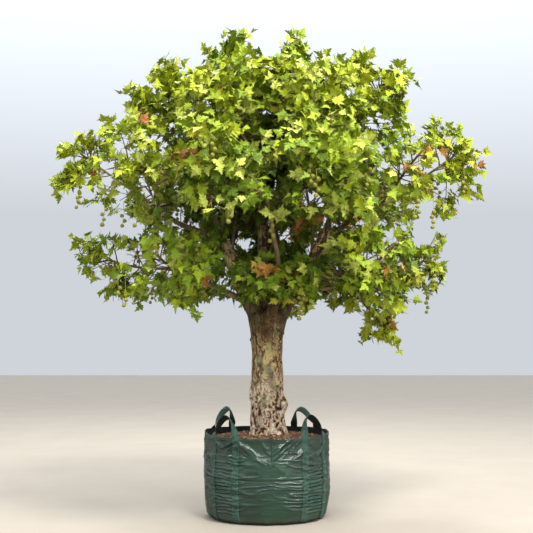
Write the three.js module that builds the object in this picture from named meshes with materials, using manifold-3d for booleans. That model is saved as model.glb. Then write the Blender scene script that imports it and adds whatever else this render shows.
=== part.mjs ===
// A young plane tree with a broad rounded crown, its root ball in a green woven planter bag.
// Millimetres, +Z up. The origin is the middle of the bag's underside, with +X right and -Y to the front.
import * as THREE from "three";
import Module from "manifold-3d";

const wasm = await Module();
wasm.setup();

const UP = new THREE.Vector3(0, 0, 1);
const GOLDEN_ANGLE = Math.PI * (3 - Math.sqrt(5));
const GAP = 0.3; // between pieces that rest on each other
const CUT_GAP = 0.5; // between a limb and what is cut to fit it
const FLATNESS = 0.5; // what a fused mass may be smoothed by

// Planter bag, filled until its sides stand
const BAG_HEIGHT = 684;
const BAG_BELLY = 526; // half width at the belly
const BAG_WALL = 6;
const BAG_SQUARENESS = 2.2; // 2 is a round plan, more is squarer
const BAG_TURN = 4; // degrees
const BAG_PROFILE = [
  // share of the height, share of the belly
  [0, 0.87],
  [0.04, 0.935],
  [0.1, 0.965],
  [0.22, 0.985],
  [0.42, 1],
  [0.65, 1],
  [0.84, 0.99],
  [1, 0.985],
];
const INSIDE_ROWS = [1, 4]; // rows of the profile that the inside of the bag follows

// Lifting loops: one over each corner, both ends sewn down the wall
const CORNERS = ["back_right", "back_left", "front_left", "front_right"];
const WEB_WIDTH = 62;
const WEB_THICK = 3;
const LEG_ANGLE = 13; // degrees from the corner to the middle of each leg
const LOOP_RISE = 172;
const LOOP_LEAN = 60; // how far the crown of the loop leans in over the bag
const LOOP_STEPS = 12;

// Root ball and mulch
const SOIL_EDGE = 638; // height where the mulch meets the bag
const SOIL_TOP = 668; // height of the flat round the trunk
const SOIL_FLAT = 205;
const SOIL_SHOULDER = 330;

// Trunk
const TRUNK_FOOT = SOIL_TOP + GAP;
const FORK = 1450; // where the boughs' centrelines part
const TRUNK_SIDES = 14;
const TRUNK_ROWS = [
  // height, radius, sideways shift
  [TRUNK_FOOT, 150, 14],
  [700, 147, 11],
  [760, 143, 6],
  [860, 138, 2],
  [930, 137, 1],
  [1000, 136, 1],
  [1120, 134, 3],
  [1260, 131, 4],
  [1400, 131, 2],
  [1530, 138, 2],
  [1640, 150, 5],
];
const ROOT_FLARE = { reach: 20, height: 70, lobes: 5 };
const BURLS = [
  { angle: -18, height: 926, out: 42, spread: 30, tall: 62 },
  { angle: -95, height: 842, out: 13, spread: 24, tall: 34 },
  { angle: 170, height: 1010, out: 9, spread: 26, tall: 60 },
];

// Boughs: parent, share along it, azimuth in degrees, reach, height of the tip, root and tip radius
const BOUGHS = {
  leader: ["trunk", 0, 140, 50, 2720, 80, 40],
  bough_right: ["trunk", 0, 0, 520, 2400, 78, 42],
  bough_back: ["trunk", 0, 82, 470, 2350, 70, 38],
  bough_left: ["trunk", 0, 184, 362, 2290, 84, 52],
  bough_front: ["trunk", 0, 286, 410, 2010, 62, 32],
  crest_right: ["leader", 0.95, 40, 250, 3230, 25, 18],
  crest_left: ["leader", 0.97, 225, 270, 3220, 25, 18],
  up_right: ["bough_right", 0.97, 8, 640, 3040, 27, 18],
  up_back: ["bough_back", 0.97, 92, 610, 2900, 27, 18],
  up_left: ["bough_left", 0.97, 186, 600, 3000, 30, 18],
  up_front: ["bough_front", 0.95, 265, 640, 2880, 21, 16],
  out_right: ["bough_right", 0.93, -2, 960, 2600, 27, 18],
  out_back: ["bough_back", 0.93, 90, 930, 2520, 25, 17],
  out_left: ["bough_left", 0.93, 182, 930, 2590, 29, 18],
  out_front: ["up_front", 0.5, 270, 950, 2560, 15, 12],
  low_right: ["bough_right", 0.42, 14, 700, 1960, 27, 17],
  low_back: ["bough_back", 0.42, 104, 640, 1960, 25, 16],
  low_left: ["bough_left", 0.36, 192, 720, 2040, 27, 17],
  low_front: ["bough_front", 0.6, 296, 500, 1890, 21, 14],
};
const STUB_SHARE = 0.42; // the part of a main bough that is one with the trunk
const KNOB = 1.16; // how far a main bough swells at its tip
const MAIN_SIDES = 8;
const MAIN_STEPS = 6;
const STUB_STEPS = 3;
const LIMB_SIDES = 5;
const LIMB_STEPS = 4;

// Crown tiers: each is a ring of masses of foliage, with the crown's own reach and height round the ring
const CROWN_X = 20; // the crown's axis stands a little to the right of the bag's
const fore = (a) => Math.abs(Math.sin(a)); // 1 to the front and back
const beside = (a) => Math.cos(a) ** 4; // 1 to the left and right
const TIERS = {
  crest: {
    count: 4,
    reach: (a) => 290 + 140 * fore(a),
    height: (a) => 3705 - 130 * fore(a) - 30 * Math.cos(a),
    size: [440, 440, 450],
    boughs: ["crest_right", "crest_right", "crest_left", "crest_left"],
  },
  shoulder: {
    count: 6,
    reach: (a) => 870 + 20 * Math.cos(a),
    height: (a) => 3480 + 20 * Math.cos(a) - 140 * fore(a),
    size: [440, 470, 450],
    boughs: ["up_right", "up_back", "up_back", "up_left", "up_front", "up_front"],
  },
  spread: {
    count: 10,
    reach: (a) => 1270 + 210 * beside(a),
    height: (a) => 2740 + 220 * beside(a),
    size: [390, 440, 450],
    boughs: [
      "out_right", "out_right", "out_back", "out_back", "out_left",
      "out_left", "out_left", "out_front", "out_front", "out_right",
    ],
  },
  skirt: {
    count: 8,
    reach: (a) => 1000 + 250 * Math.cos(a) ** 2,
    height: (a) => 2010 + 90 * Math.cos(a) ** 2,
    size: [420, 460, 380],
    boughs: [
      "low_right", "low_right", "low_back", "low_back",
      "low_left", "low_left", null, "low_front",
    ],
  },
};
// Two smaller sprays: one in the skirt's gap in front of the fork, and one that hangs low on the right
const SPRAYS = {
  front_spray: { azimuth: 281, reach: 660, height: 1880, size: [350, 420, 250], bough: "low_front" },
  low_spray: { azimuth: 344, reach: 960, height: 1640, size: [300, 330, 230], bough: "low_right" },
};

// Foliage
const STEM_ROOT = 13;
const STEM_TIP = 9;
const STEM_SIDES = 4;
const STEM_STEPS = 3;
const TWIGS = 7; // on each mass
const TWIG_RADIUS = 6;
const TWIG_TIP = 5;
const SHORTEST_TWIG = 60;
const GENTLE_BEND = 0.7; // cosine of the sharpest turn from a twig into the leaf at its end
const LEAF_LENGTH = 335;
const LEAF_WIDTH = 320;
const LEAF_THICK = 5;
const LEAF_STALK = 2; // half width of the stalk where it joins its twig
const LEAF_CURL = 25; // how far the tip hangs below the blade
const LEAF_DROOP = 0.5;
const LEAF_SCALES = [1, 0.84, 0.7];
const LEAF_TURNS = [0, 25, -25]; // degrees to try where another leaf is in the way
const SPACE_MARGIN = 3;
const LIMB_MARGIN = 8;
const OBSTACLE_STEPS = 48;
const STRING_DROP = 190; // a stalk of hanging fruit
const FRUIT_RADIUS = 20;
const FRUITS = 3;
const FRUIT_SIDES = 3;
const FRUIT_STALK = 2.5;
const FRUIT_TWIG = 4; // which twig of a low mass carries it

const radians = THREE.MathUtils.degToRad;

// A number from 0 to 1 that depends only on what it is asked for
function chance(...keys) {
  const mixed = keys.reduce((sum, key, i) => sum + key * (12.9898 + 65.2431 * i), 4.137);
  const wild = Math.sin(mixed) * 43758.5453;
  return wild - Math.floor(wild);
}

function polar(azimuth, reach, height) {
  return new THREE.Vector3(reach * Math.cos(azimuth), reach * Math.sin(azimuth), height);
}

// Closed geometry through rings of equal count, flat at both ends or drawn out to a point at the last.
// The two sides of a twisted ribbon are split along the same diagonals, so that they stay apart.
function ringGeometry(rings, point, ribbon = false) {
  const count = rings[0].length;
  const points = rings.flat();
  const faces = [];
  for (let r = 0; r + 1 < rings.length; r++) {
    for (let i = 0; i < count; i++) {
      const a = r * count + i;
      const b = r * count + ((i + 1) % count);
      if (ribbon && 2 * i >= count) faces.push(a, b, a + count, b, b + count, a + count);
      else faces.push(a, b, b + count, a, b + count, a + count);
    }
  }
  const last = (rings.length - 1) * count;
  for (let i = 1; i + 1 < count; i++) {
    faces.push(0, i + 1, i);
    if (!point) faces.push(last, last + i, last + i + 1);
  }
  if (point) {
    points.push(point);
    for (let i = 0; i < count; i++) faces.push(last + i, last + ((i + 1) % count), points.length - 1);
  }
  const geometry = new THREE.BufferGeometry();
  const numbers = points.flatMap((p) => p.toArray());
  geometry.setAttribute("position", new THREE.Float32BufferAttribute(numbers, 3));
  geometry.setIndex(faces);
  return geometry;
}

function toSolid(geometry) {
  const make = (triVerts) =>
    new wasm.Manifold(
      new wasm.Mesh({
        numProp: 3,
        vertProperties: new Float32Array(geometry.attributes.position.array),
        triVerts,
      }),
    );
  const triVerts = new Uint32Array(geometry.index.array);
  const solid = make(triVerts);
  return solid.volume() >= 0 ? solid : make(triVerts.reverse());
}

function toGeometry(solid) {
  const mesh = solid.getMesh();
  const geometry = new THREE.BufferGeometry();
  geometry.setAttribute("position", new THREE.Float32BufferAttribute(mesh.vertProperties, 3));
  geometry.setIndex(new THREE.BufferAttribute(mesh.triVerts, 1));
  return geometry;
}

// The largest body of a cut or joined solid
function largest(solid) {
  return solid.decompose().sort((a, b) => b.volume() - a.volume())[0];
}

// Rings of a limb that follows a curve from one share of it to another
function limbRings(curve, radiusAt, sides, steps, from = 0, to = 1, grow = 0) {
  const aside = curve.computeFrenetFrames(steps).normals[0];
  const rings = [];
  for (let k = 0; k <= steps; k++) {
    const share = from + ((to - from) * k) / steps;
    const centre = curve.getPoint(share);
    const tangent = curve.getTangent(share);
    const side = aside.clone().addScaledVector(tangent, -aside.dot(tangent)).normalize();
    const other = new THREE.Vector3().crossVectors(tangent, side);
    const radius = radiusAt(share) + grow;
    rings.push(
      Array.from({ length: sides }, (_, i) => {
        const turn = (2 * Math.PI * i) / sides;
        return centre
          .clone()
          .addScaledVector(side, radius * Math.cos(turn))
          .addScaledVector(other, radius * Math.sin(turn));
      }),
    );
  }
  return rings;
}

// The bag's plan: a rounded square
function planFactor(angle) {
  const turned = angle - radians(BAG_TURN);
  const c = Math.abs(Math.cos(turned)) ** BAG_SQUARENESS;
  const s = Math.abs(Math.sin(turned)) ** BAG_SQUARENESS;
  return (c + s) ** (-1 / BAG_SQUARENESS);
}

const legHalfAngle = Math.asin(WEB_WIDTH / 2 / BAG_BELLY);

function bagAngles() {
  const angles = [];
  const leg = radians(LEG_ANGLE);
  const free = (Math.PI / 2 - 2 * (leg + legHalfAngle)) / 4;
  for (let k = 0; k < 4; k++) {
    const corner = radians(45 + BAG_TURN) + (k * Math.PI) / 2;
    angles.push(corner - leg - legHalfAngle, corner - leg + legHalfAngle, corner);
    angles.push(corner + leg - legHalfAngle, corner + leg + legHalfAngle);
    for (let j = 1; j < 4; j++) angles.push(corner + leg + legHalfAngle + j * free);
  }
  return angles;
}

function bagPoint(angle, row, inset) {
  const [rise, wide] = BAG_PROFILE[row];
  return polar(angle, BAG_BELLY * wide * planFactor(angle) - inset, BAG_HEIGHT * rise);
}

function bagRing(row, inset, height) {
  return bagAngles().map((angle) => {
    const point = bagPoint(angle, row, inset);
    if (height !== undefined) point.z = height;
    return point;
  });
}

function makeBag() {
  const outside = BAG_PROFILE.map((_, row) => bagRing(row, 0));
  const inside = INSIDE_ROWS.toReversed().map((row) => bagRing(row, BAG_WALL));
  const rim = bagRing(BAG_PROFILE.length - 1, BAG_WALL);
  return ringGeometry([...outside, rim, ...inside, bagRing(0, BAG_WALL, BAG_WALL)]);
}

function makeRootBall() {
  const inset = BAG_WALL + GAP;
  const rings = [bagRing(0, inset, BAG_WALL + GAP), ...INSIDE_ROWS.map((row) => bagRing(row, inset))];
  const rim = bagRing(BAG_PROFILE.length - 1, inset);
  const last = BAG_PROFILE[INSIDE_ROWS.at(-1)][0];
  const share = (SOIL_EDGE / BAG_HEIGHT - last) / (1 - last);
  rings.push(rings.at(-1).map((point, i) => point.clone().lerp(rim[i], share)));
  rings.push(bagAngles().map((angle) => polar(angle, SOIL_SHOULDER, (SOIL_EDGE + 2 * SOIL_TOP) / 3)));
  rings.push(bagAngles().map((angle) => polar(angle, SOIL_FLAT, SOIL_TOP)));
  return ringGeometry(rings);
}

// A loop of webbing: up the wall, over the corner with a half turn, and down the wall again
function makeLoop(corner) {
  const legs = [-1, 1].map((side) => corner + side * radians(LEG_ANGLE));
  const wallRing = (angle, row) => {
    const [left, right] = [-1, 1].map((side) => bagPoint(angle + side * legHalfAngle, row, -GAP));
    const out = polar(angle, WEB_THICK, 0);
    return [left, right, right.clone().add(out), left.clone().add(out)];
  };
  const outward = polar(corner, 1, 0);
  const along = new THREE.Vector3().crossVectors(UP, outward);
  const top = BAG_PROFILE.length - 1;
  const middle = (ring) => ring.reduce((sum, p) => sum.add(p), new THREE.Vector3()).divideScalar(4);
  const [start, end] = legs.map((angle) => middle(wallRing(angle, top)));
  const lift = UP.clone().multiplyScalar(LOOP_RISE * 1.3).addScaledVector(outward, -LOOP_LEAN);
  const curve = new THREE.CubicBezierCurve3(
    start,
    start.clone().add(lift).addScaledVector(along, 20),
    end.clone().add(lift).addScaledVector(along, -20),
    end,
  );
  const free = [];
  for (let k = 1; k < LOOP_STEPS; k++) {
    const share = k / LOOP_STEPS;
    const tangent = curve.getTangent(share);
    const wide = along
      .clone()
      .multiplyScalar(Math.cos(Math.PI * share))
      .addScaledVector(outward, Math.sin(Math.PI * share));
    wide.addScaledVector(tangent, -wide.dot(tangent)).normalize();
    const thick = new THREE.Vector3().crossVectors(wide, tangent);
    const half = (WEB_WIDTH / 2) * (1 - 0.25 * Math.sin(Math.PI * share));
    const centre = curve.getPoint(share);
    wide.multiplyScalar(half);
    thick.multiplyScalar(WEB_THICK / 2);
    const at = (w, t) => centre.clone().addScaledVector(wide, w).addScaledVector(thick, t);
    free.push([at(-1, -1), at(1, -1), at(1, 1), at(-1, 1)]);
  }
  const rows = BAG_PROFILE.map((_, row) => row).slice(1);
  const climb = rows.map((row) => wallRing(legs[0], row));
  const descend = rows
    .slice()
    .reverse()
    .map((row) => wallRing(legs[1], row))
    .map(([left, right, outRight, outLeft]) => [right, left, outLeft, outRight]);
  return toGeometry(toSolid(ringGeometry([...climb, ...free, ...descend], undefined, true)));
}

// Trunk surface: taper, root flare and burls
function trunkRing([height, radius, shift]) {
  return Array.from({ length: TRUNK_SIDES }, (_, i) => {
    const angle = (2 * Math.PI * i) / TRUNK_SIDES;
    const rise = (height - TRUNK_FOOT) / ROOT_FLARE.height;
    let out = radius * (1 + 0.025 * Math.cos(3 * angle + 1));
    out += ROOT_FLARE.reach * Math.exp(-rise) * (0.55 + 0.45 * Math.cos(ROOT_FLARE.lobes * angle + 0.6));
    for (const burl of BURLS) {
      const turn = angle - radians(burl.angle);
      const round = Math.atan2(Math.sin(turn), Math.cos(turn)) / radians(burl.spread);
      const near = round ** 2 + ((height - burl.height) / burl.tall) ** 2;
      out += burl.out * Math.exp(-near);
    }
    return polar(angle, out, height).add(new THREE.Vector3(shift, 0, 0));
  });
}

// The curve and taper of every bough, worked out from its parent's
const limbs = {};
for (const [name, [parent, share, azimuth, reach, height, root, tip]] of Object.entries(BOUGHS)) {
  const end = polar(radians(azimuth), reach, height);
  const main = parent === "trunk";
  const start = main ? new THREE.Vector3(2, 0, FORK) : limbs[parent].curve.getPoint(share);
  const along = main ? UP.clone() : limbs[parent].curve.getTangent(share);
  const span = end.distanceTo(start);
  const level = new THREE.Vector3(end.x - start.x, end.y - start.y, 0);
  if (!main) along.lerp(end.clone().sub(start).normalize(), 0.6);
  const first = start.clone().addScaledVector(along, span / 3);
  if (main) first.addScaledVector(level, 0.3);
  const sag = name.startsWith("low") ? 0.03 : 0.05;
  const second = start.clone().lerp(end, main ? 0.62 : 0.7).addScaledVector(UP, -sag * span);
  const curve = new THREE.CubicBezierCurve3(start, first, second, end);
  const radiusAt = (t) => {
    const taper = THREE.MathUtils.lerp(root, tip, t);
    return main ? taper * (1 + (KNOB - 1) * Math.exp(-(((t - 0.95) / 0.07) ** 2))) : taper;
  };
  limbs[name] = { name, parent, main, curve, radiusAt, root, tip };
}

// A bough as a solid, or the same grown all round for cutting others clear of it
function limbSolid(limb, grow = 0) {
  const from = limb.main ? STUB_SHARE : 0;
  const [sides, steps] = limb.main ? [MAIN_SIDES, MAIN_STEPS] : [LIMB_SIDES, LIMB_STEPS];
  const rings = limbRings(limb.curve, limb.radiusAt, sides, steps, from, 1, grow);
  const centre = limb.curve.getPoint(1);
  const ahead = limb.curve.getTangent(1);
  const dome = (p) => p.clone().lerp(centre, 0.35).addScaledVector(ahead, limb.tip / 2);
  if (limb.main) rings.push(rings.at(-1).map(dome));
  if (grow > 0) rings.push(rings.at(-1).map((p) => p.clone().addScaledVector(ahead, grow)));
  return toSolid(ringGeometry(rings));
}

function makeTrunk() {
  let trunk = toSolid(ringGeometry(TRUNK_ROWS.map(trunkRing)));
  for (const limb of Object.values(limbs)) {
    if (!limb.main) continue;
    const end = STUB_SHARE - GAP / limb.curve.getLength();
    const stub = limbRings(limb.curve, limb.radiusAt, MAIN_SIDES, STUB_STEPS, 0.02, end);
    trunk = trunk.add(toSolid(ringGeometry(stub)));
  }
  return largest(trunk);
}

// Masses of foliage
const masses = [];
function addMass(name, azimuth, reach, height, size, bough) {
  const centre = polar(azimuth, reach, height);
  centre.x += CROWN_X;
  const out = polar(azimuth, 1, 0);
  const aside = new THREE.Vector3().crossVectors(UP, out);
  masses.push({ name, centre, out, aside, size, bough, number: masses.length + 1 });
}
for (const [tier, { count, reach, height, size, boughs }] of Object.entries(TIERS)) {
  for (let k = 0; k < count; k++) {
    const a = (2 * Math.PI * k) / count;
    if (boughs[k]) addMass(`${tier}_${k}`, a, reach(a), height(a), size, boughs[k]);
  }
}
for (const [name, { azimuth, reach, height, size, bough }] of Object.entries(SPRAYS)) {
  addMass(name, radians(azimuth), reach, height, size, bough);
}

// How far a mass reaches from its centre in a direction
function extent(mass, direction) {
  const [o, a, u] = mass.size;
  return 1 / Math.hypot(direction.dot(mass.out) / o, direction.dot(mass.aside) / a, direction.z / u);
}

function onSurface(mass, direction) {
  return mass.centre.clone().addScaledVector(direction, extent(mass, direction));
}

// Each mass has a space of its own, bounded by a plane towards every other mass
for (const mass of masses) {
  mass.planes = masses
    .filter((other) => other !== mass)
    .map((other) => {
      const normal = other.centre.clone().sub(mass.centre);
      const distance = normal.length();
      normal.normalize();
      const mine = extent(mass, normal);
      const theirs = extent(other, normal.clone().negate());
      const limit = (distance * mine) / (mine + theirs) + mass.centre.dot(normal);
      return { normal, limit };
    });
}

function inSpace(mass, point, margin = SPACE_MARGIN) {
  return mass.planes.every(({ normal, limit }) => point.dot(normal) < limit - margin);
}

// Stem: from its bough's tip through the middle of the mass
for (const mass of masses) {
  const bough = limbs[mass.bough];
  const ahead = bough.curve.getTangent(1);
  const start = bough.curve.getPoint(0.985);
  const towards = mass.centre.clone().sub(start).normalize();
  mass.axis = mass.out.clone().multiplyScalar(0.6).addScaledVector(UP, 0.5);
  mass.axis.addScaledVector(towards, 0.8).normalize();
  const end = mass.centre.clone().addScaledVector(mass.axis, 0.45 * extent(mass, mass.axis));
  const span = end.distanceTo(start);
  mass.stem = new THREE.CubicBezierCurve3(
    start,
    start.clone().addScaledVector(ahead, span * 0.12).addScaledVector(towards, span * 0.22),
    mass.centre.clone().addScaledVector(mass.axis, -0.25 * span),
    end,
  );
  mass.stemRadius = (t) => THREE.MathUtils.lerp(STEM_ROOT, STEM_TIP, t);
}

// Points along every limb and stem, for keeping twigs and leaves off them
const obstacles = [];
const middleLines = []; // and their middle lines, in short pieces
function avoid(curve, radiusAt, own) {
  const points = curve.getPoints(OBSTACLE_STEPS);
  points.forEach((at, k) => obstacles.push({ own, at, clear: radiusAt(k / OBSTACLE_STEPS) }));
  const coarse = points.filter((_, k) => k % 8 === 0);
  coarse.slice(1).forEach((point, k) => middleLines.push({ own, line: [coarse[k], point] }));
}
Object.values(limbs).forEach((limb) => avoid(limb.curve, limb.radiusAt, null));
masses.forEach((mass) => avoid(mass.stem, mass.stemRadius, mass));

function clearOfLimbs(mass, from, to, width = 0) {
  const piece = new THREE.Line3(from, to);
  const near = new THREE.Vector3();
  return obstacles.every(({ at, clear, own }) => {
    if (own === mass) return true;
    piece.closestPointToPoint(at, true, near);
    return near.distanceTo(at) > clear + LIMB_MARGIN + width;
  });
}

// Twigs run from the stem to points spread evenly over the mass, lowest first on the stem
function twigDirections(mass, count) {
  const side = new THREE.Vector3().crossVectors(mass.axis, mass.aside).normalize();
  const other = new THREE.Vector3().crossVectors(mass.axis, side);
  return Array.from({ length: count }, (_, i) => {
    const ahead = 1 - (1.62 * (i + 0.5)) / count;
    const turn = GOLDEN_ANGLE * (i + mass.number);
    const wide = Math.sqrt(1 - ahead * ahead);
    return {
      ahead,
      direction: mass.axis
        .clone()
        .multiplyScalar(ahead)
        .addScaledVector(side, wide * Math.cos(turn))
        .addScaledVector(other, wide * Math.sin(turn)),
    };
  });
}

// Three points round a centre: two to the sides and one below
function threeSides(centre, across, face, wide, deep) {
  return [
    centre.clone().addScaledVector(across, -wide).addScaledVector(face, deep / 3),
    centre.clone().addScaledVector(across, wide).addScaledVector(face, deep / 3),
    centre.clone().addScaledVector(face, (-2 * deep) / 3),
  ];
}

// A three-sided leaf, flat above and ridged below, that starts from the rings of its stalk or twig
function leafRings(root, along, normal, scale) {
  const across = new THREE.Vector3().crossVectors(normal, along).normalize();
  const face = new THREE.Vector3().crossVectors(along, across);
  const length = LEAF_LENGTH * scale;
  const middle = root.clone().addScaledVector(along, length * 0.48);
  const tip = root.clone().addScaledVector(along, length).addScaledVector(face, -LEAF_CURL * scale);
  const wide = threeSides(middle, across, face, (LEAF_WIDTH * scale) / 2, LEAF_THICK);
  const stalk = threeSides(root, across, face, LEAF_STALK, LEAF_STALK);
  return { stalk, wide, tip, along, across, outline: [root, wide[0], tip, wide[1]] };
}

function leafFits(mass, outline, leaves, lines) {
  const sides = outline.map((p, i) => [p, outline[(i + 1) % outline.length]]);
  const middle = outline[1].clone().lerp(outline[3], 0.5);
  const stalk = outline[0].clone().lerp(middle, 0.2);
  const ribs = [...sides, [stalk, outline[2]], [outline[1], outline[3]]];
  if (!outline.every((p) => inSpace(mass, p))) return false;
  if (!ribs.every(([a, b]) => clearOfLimbs(mass, a, b, LEAF_THICK))) return false;
  if (lines.some((line) => crosses(line, outline))) return false;
  if (middleLines.some(({ own, line }) => own !== mass && crosses(line, outline))) return false;
  return leaves.every((leaf) => !crosses(leaf, outline) && !crosses(outline, leaf));
}

// Whether a side of an outline, or a line, goes through a leaf
function crosses(outline, leaf) {
  const [root, left, tip, right] = leaf;
  const hit = new THREE.Vector3();
  return outline.some((from, i) => {
    const to = outline[(i + 1) % outline.length];
    const span = to.clone().sub(from);
    const ray = new THREE.Ray(from, span.clone().normalize());
    return [
      [root, left, right],
      [tip, right, left],
    ].some((t) => ray.intersectTriangle(...t, false, hit) && hit.distanceTo(from) < span.length());
  });
}

// The largest leaf that has room at a root, or none
function roomForLeaf(mass, root, along, normal, leaves, lines) {
  for (const turn of LEAF_TURNS) {
    const turned = along.clone().applyAxisAngle(normal, radians(turn));
    for (const scale of LEAF_SCALES) {
      const leaf = leafRings(root, turned, normal, scale);
      if (leafFits(mass, leaf.outline, leaves, lines)) {
        leaves.push(leaf.outline);
        return leaf;
      }
    }
  }
  return null;
}

function leafSolid({ stalk, wide, tip }) {
  return toSolid(ringGeometry([stalk, wide], tip));
}

// A three-sided twig that flattens into the leaf at its end, or holds it by its stalk round a sharp bend
function twigWithLeaf(root, end, leaf) {
  const along = end.clone().sub(root).normalize();
  const gentle = leaf && leaf.along.dot(along) > GENTLE_BEND;
  const aside = Math.abs(along.z) > 0.95 ? new THREE.Vector3(1, 0, 0) : UP;
  const across = gentle ? leaf.across.clone() : new THREE.Vector3().crossVectors(aside, along);
  across.addScaledVector(along, -across.dot(along)).normalize();
  const face = new THREE.Vector3().crossVectors(along, across);
  const rings = [
    threeSides(root, across, face, TWIG_RADIUS, 1.6 * TWIG_RADIUS),
    threeSides(end, across, face, TWIG_TIP, 1.6 * TWIG_TIP),
  ];
  if (gentle) return toSolid(ringGeometry([...rings, leaf.wide], leaf.tip));
  const twig = toSolid(ringGeometry(rings));
  return leaf ? twig.add(leafSolid(leaf)) : twig;
}

// A stalk of round fruit that hangs from a twig, one bead below the other
function growFruit(mass, top) {
  const drop = (down, radius) =>
    Array.from({ length: FRUIT_SIDES }, (_, i) =>
      polar((2 * Math.PI * (i + 0.5)) / FRUIT_SIDES, radius, -down).add(top),
    );
  const rings = [drop(0, FRUIT_STALK)];
  for (let k = 0; k < FRUITS; k++) {
    const middle = STRING_DROP - (FRUITS - 1 - k) * 2.4 * FRUIT_RADIUS;
    rings.push(drop(middle - FRUIT_RADIUS, FRUIT_STALK), drop(middle, FRUIT_RADIUS));
    if (k + 1 < FRUITS) rings.push(drop(middle + FRUIT_RADIUS, FRUIT_STALK));
  }
  const foot = top.clone().addScaledVector(UP, -STRING_DROP - FRUIT_RADIUS);
  const inside = inSpace(mass, foot, FRUIT_RADIUS) && inSpace(mass, top, FRUIT_RADIUS);
  const room = inside && clearOfLimbs(mass, top, foot, FRUIT_RADIUS);
  return room ? toSolid(ringGeometry(rings, foot)) : null;
}

function stemSolid(mass, grow = 0) {
  return toSolid(ringGeometry(limbRings(mass.stem, mass.stemRadius, STEM_SIDES, STEM_STEPS, 0, 1, grow)));
}

// All the wood and leaves of one mass, fused
function makeMass(mass, taken) {
  let stem = stemSolid(mass);
  for (const solid of taken) stem = stem.subtract(solid);
  let whole = largest(stem);
  const leaves = [];
  const twigs = twigDirections(mass, TWIGS).map(({ ahead, direction }, i) => {
    const share = 0.42 + 0.27 * (ahead + 1) + 0.04 * (chance(mass.number, i, 1) - 0.5);
    const root = mass.stem.getPoint(Math.min(share, 0.97));
    const along = direction.clone().addScaledVector(UP, -LEAF_DROOP * (1 - direction.z)).normalize();
    const end = onSurface(mass, direction).addScaledVector(along, -LEAF_LENGTH);
    if (end.distanceTo(root) < SHORTEST_TWIG) end.copy(root).addScaledVector(direction, SHORTEST_TWIG);
    const outward = new THREE.Vector3(end.x - CROWN_X, end.y, 0).normalize();
    const normal = outward.addScaledVector(UP, 0.35 + 0.5 * chance(mass.number, i, 2)).normalize();
    const room = inSpace(mass, root) && inSpace(mass, end) && clearOfLimbs(mass, root, end, TWIG_RADIUS);
    return { i, root, end, along, normal, room };
  });
  const grown = twigs.filter(({ room }) => room);
  const stemLines = Array.from({ length: STEM_STEPS }, (_, k) =>
    [k, k + 1].map((step) => mass.stem.getPoint(step / STEM_STEPS)),
  );
  const twigLines = grown.map(({ root, end }) => [root, end]);
  const linesBut = (i) => [...stemLines, ...twigLines.filter((_, k) => grown[k].i !== i)];
  for (const { i, root, end, along, normal } of grown) {
    const leaf = roomForLeaf(mass, end, along, normal, leaves, linesBut(i));
    whole = whole.add(twigWithLeaf(root, end, leaf));
  }
  for (const { i, root, end, normal } of grown) {
    const twig = end.clone().sub(root).normalize();
    const hand = i % 2 ? 1 : -1;
    const sideways = new THREE.Vector3().crossVectors(UP, twig).normalize().multiplyScalar(hand);
    const spread = sideways.addScaledVector(twig, 0.45).addScaledVector(UP, -0.25).normalize();
    const leaf = roomForLeaf(mass, root.clone().lerp(end, 0.6), spread, normal, leaves, linesBut(i));
    if (leaf) whole = whole.add(leafSolid(leaf));
  }
  const top = roomForLeaf(mass, mass.stem.getPoint(0.98), mass.axis, mass.out, leaves, twigLines);
  if (top) whole = whole.add(leafSolid(top));
  const low = mass.name.startsWith("spread") || mass.name.startsWith("skirt");
  for (const { i, root, end } of low ? grown : []) {
    const fruit = i === FRUIT_TWIG ? growFruit(mass, root.clone().lerp(end, 0.8)) : null;
    if (fruit) whole = whole.add(fruit);
  }
  return largest(largest(whole).asOriginal().simplify(FLATNESS));
}

const bark = new THREE.MeshStandardMaterial({ color: 0x9c8468, roughness: 0.85, metalness: 0 });
const youngBark = new THREE.MeshStandardMaterial({ color: 0x7d6a50, roughness: 0.8, metalness: 0 });
const wovenGreen = new THREE.MeshStandardMaterial({ color: 0x2c5a40, roughness: 0.4, metalness: 0 });
const webGreen = new THREE.MeshStandardMaterial({ color: 0x4c7562, roughness: 0.6, metalness: 0 });
const mulch = new THREE.MeshStandardMaterial({ color: 0x7a4a30, roughness: 0.95, metalness: 0 });
const leafGreen = new THREE.MeshStandardMaterial({ color: 0x85932a, roughness: 0.5, metalness: 0 });

const tree = new THREE.Group();
function addNode(name, geometry, material) {
  const mesh = new THREE.Mesh(geometry, material);
  mesh.name = name;
  tree.add(mesh);
}

addNode("planter_bag", makeBag(), wovenGreen);
addNode("root_ball", makeRootBall(), mulch);
CORNERS.forEach((corner, k) => {
  addNode(`lifting_loop_${corner}`, makeLoop(radians(45 + BAG_TURN) + (k * Math.PI) / 2), webGreen);
});
addNode("trunk", toGeometry(makeTrunk()), bark);

// Each limb is cut clear of its parent and of the limbs before it at the same joint
const grown = {};
for (const limb of Object.values(limbs)) {
  let solid = limbSolid(limb);
  if (!limb.main) {
    const before = Object.values(limbs).slice(0, Object.keys(grown).length);
    const near = before.filter((other) => other.name === limb.parent || other.parent === limb.parent);
    for (const other of near) solid = solid.subtract(limbSolid(other, CUT_GAP));
  }
  grown[limb.name] = largest(solid);
  addNode(limb.name, toGeometry(grown[limb.name]), limb.main ? bark : youngBark);
}

masses.forEach((mass) => {
  const bough = limbs[mass.bough];
  const taken = [limbSolid(bough, CUT_GAP)];
  for (const other of masses) {
    if (other.bough !== mass.bough || other.number >= mass.number) continue;
    taken.push(stemSolid(other, 2 * CUT_GAP));
  }
  addNode(`foliage_${mass.name}`, toGeometry(makeMass(mass, taken)), leafGreen);
});

export default tree;
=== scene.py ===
import math

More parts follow.
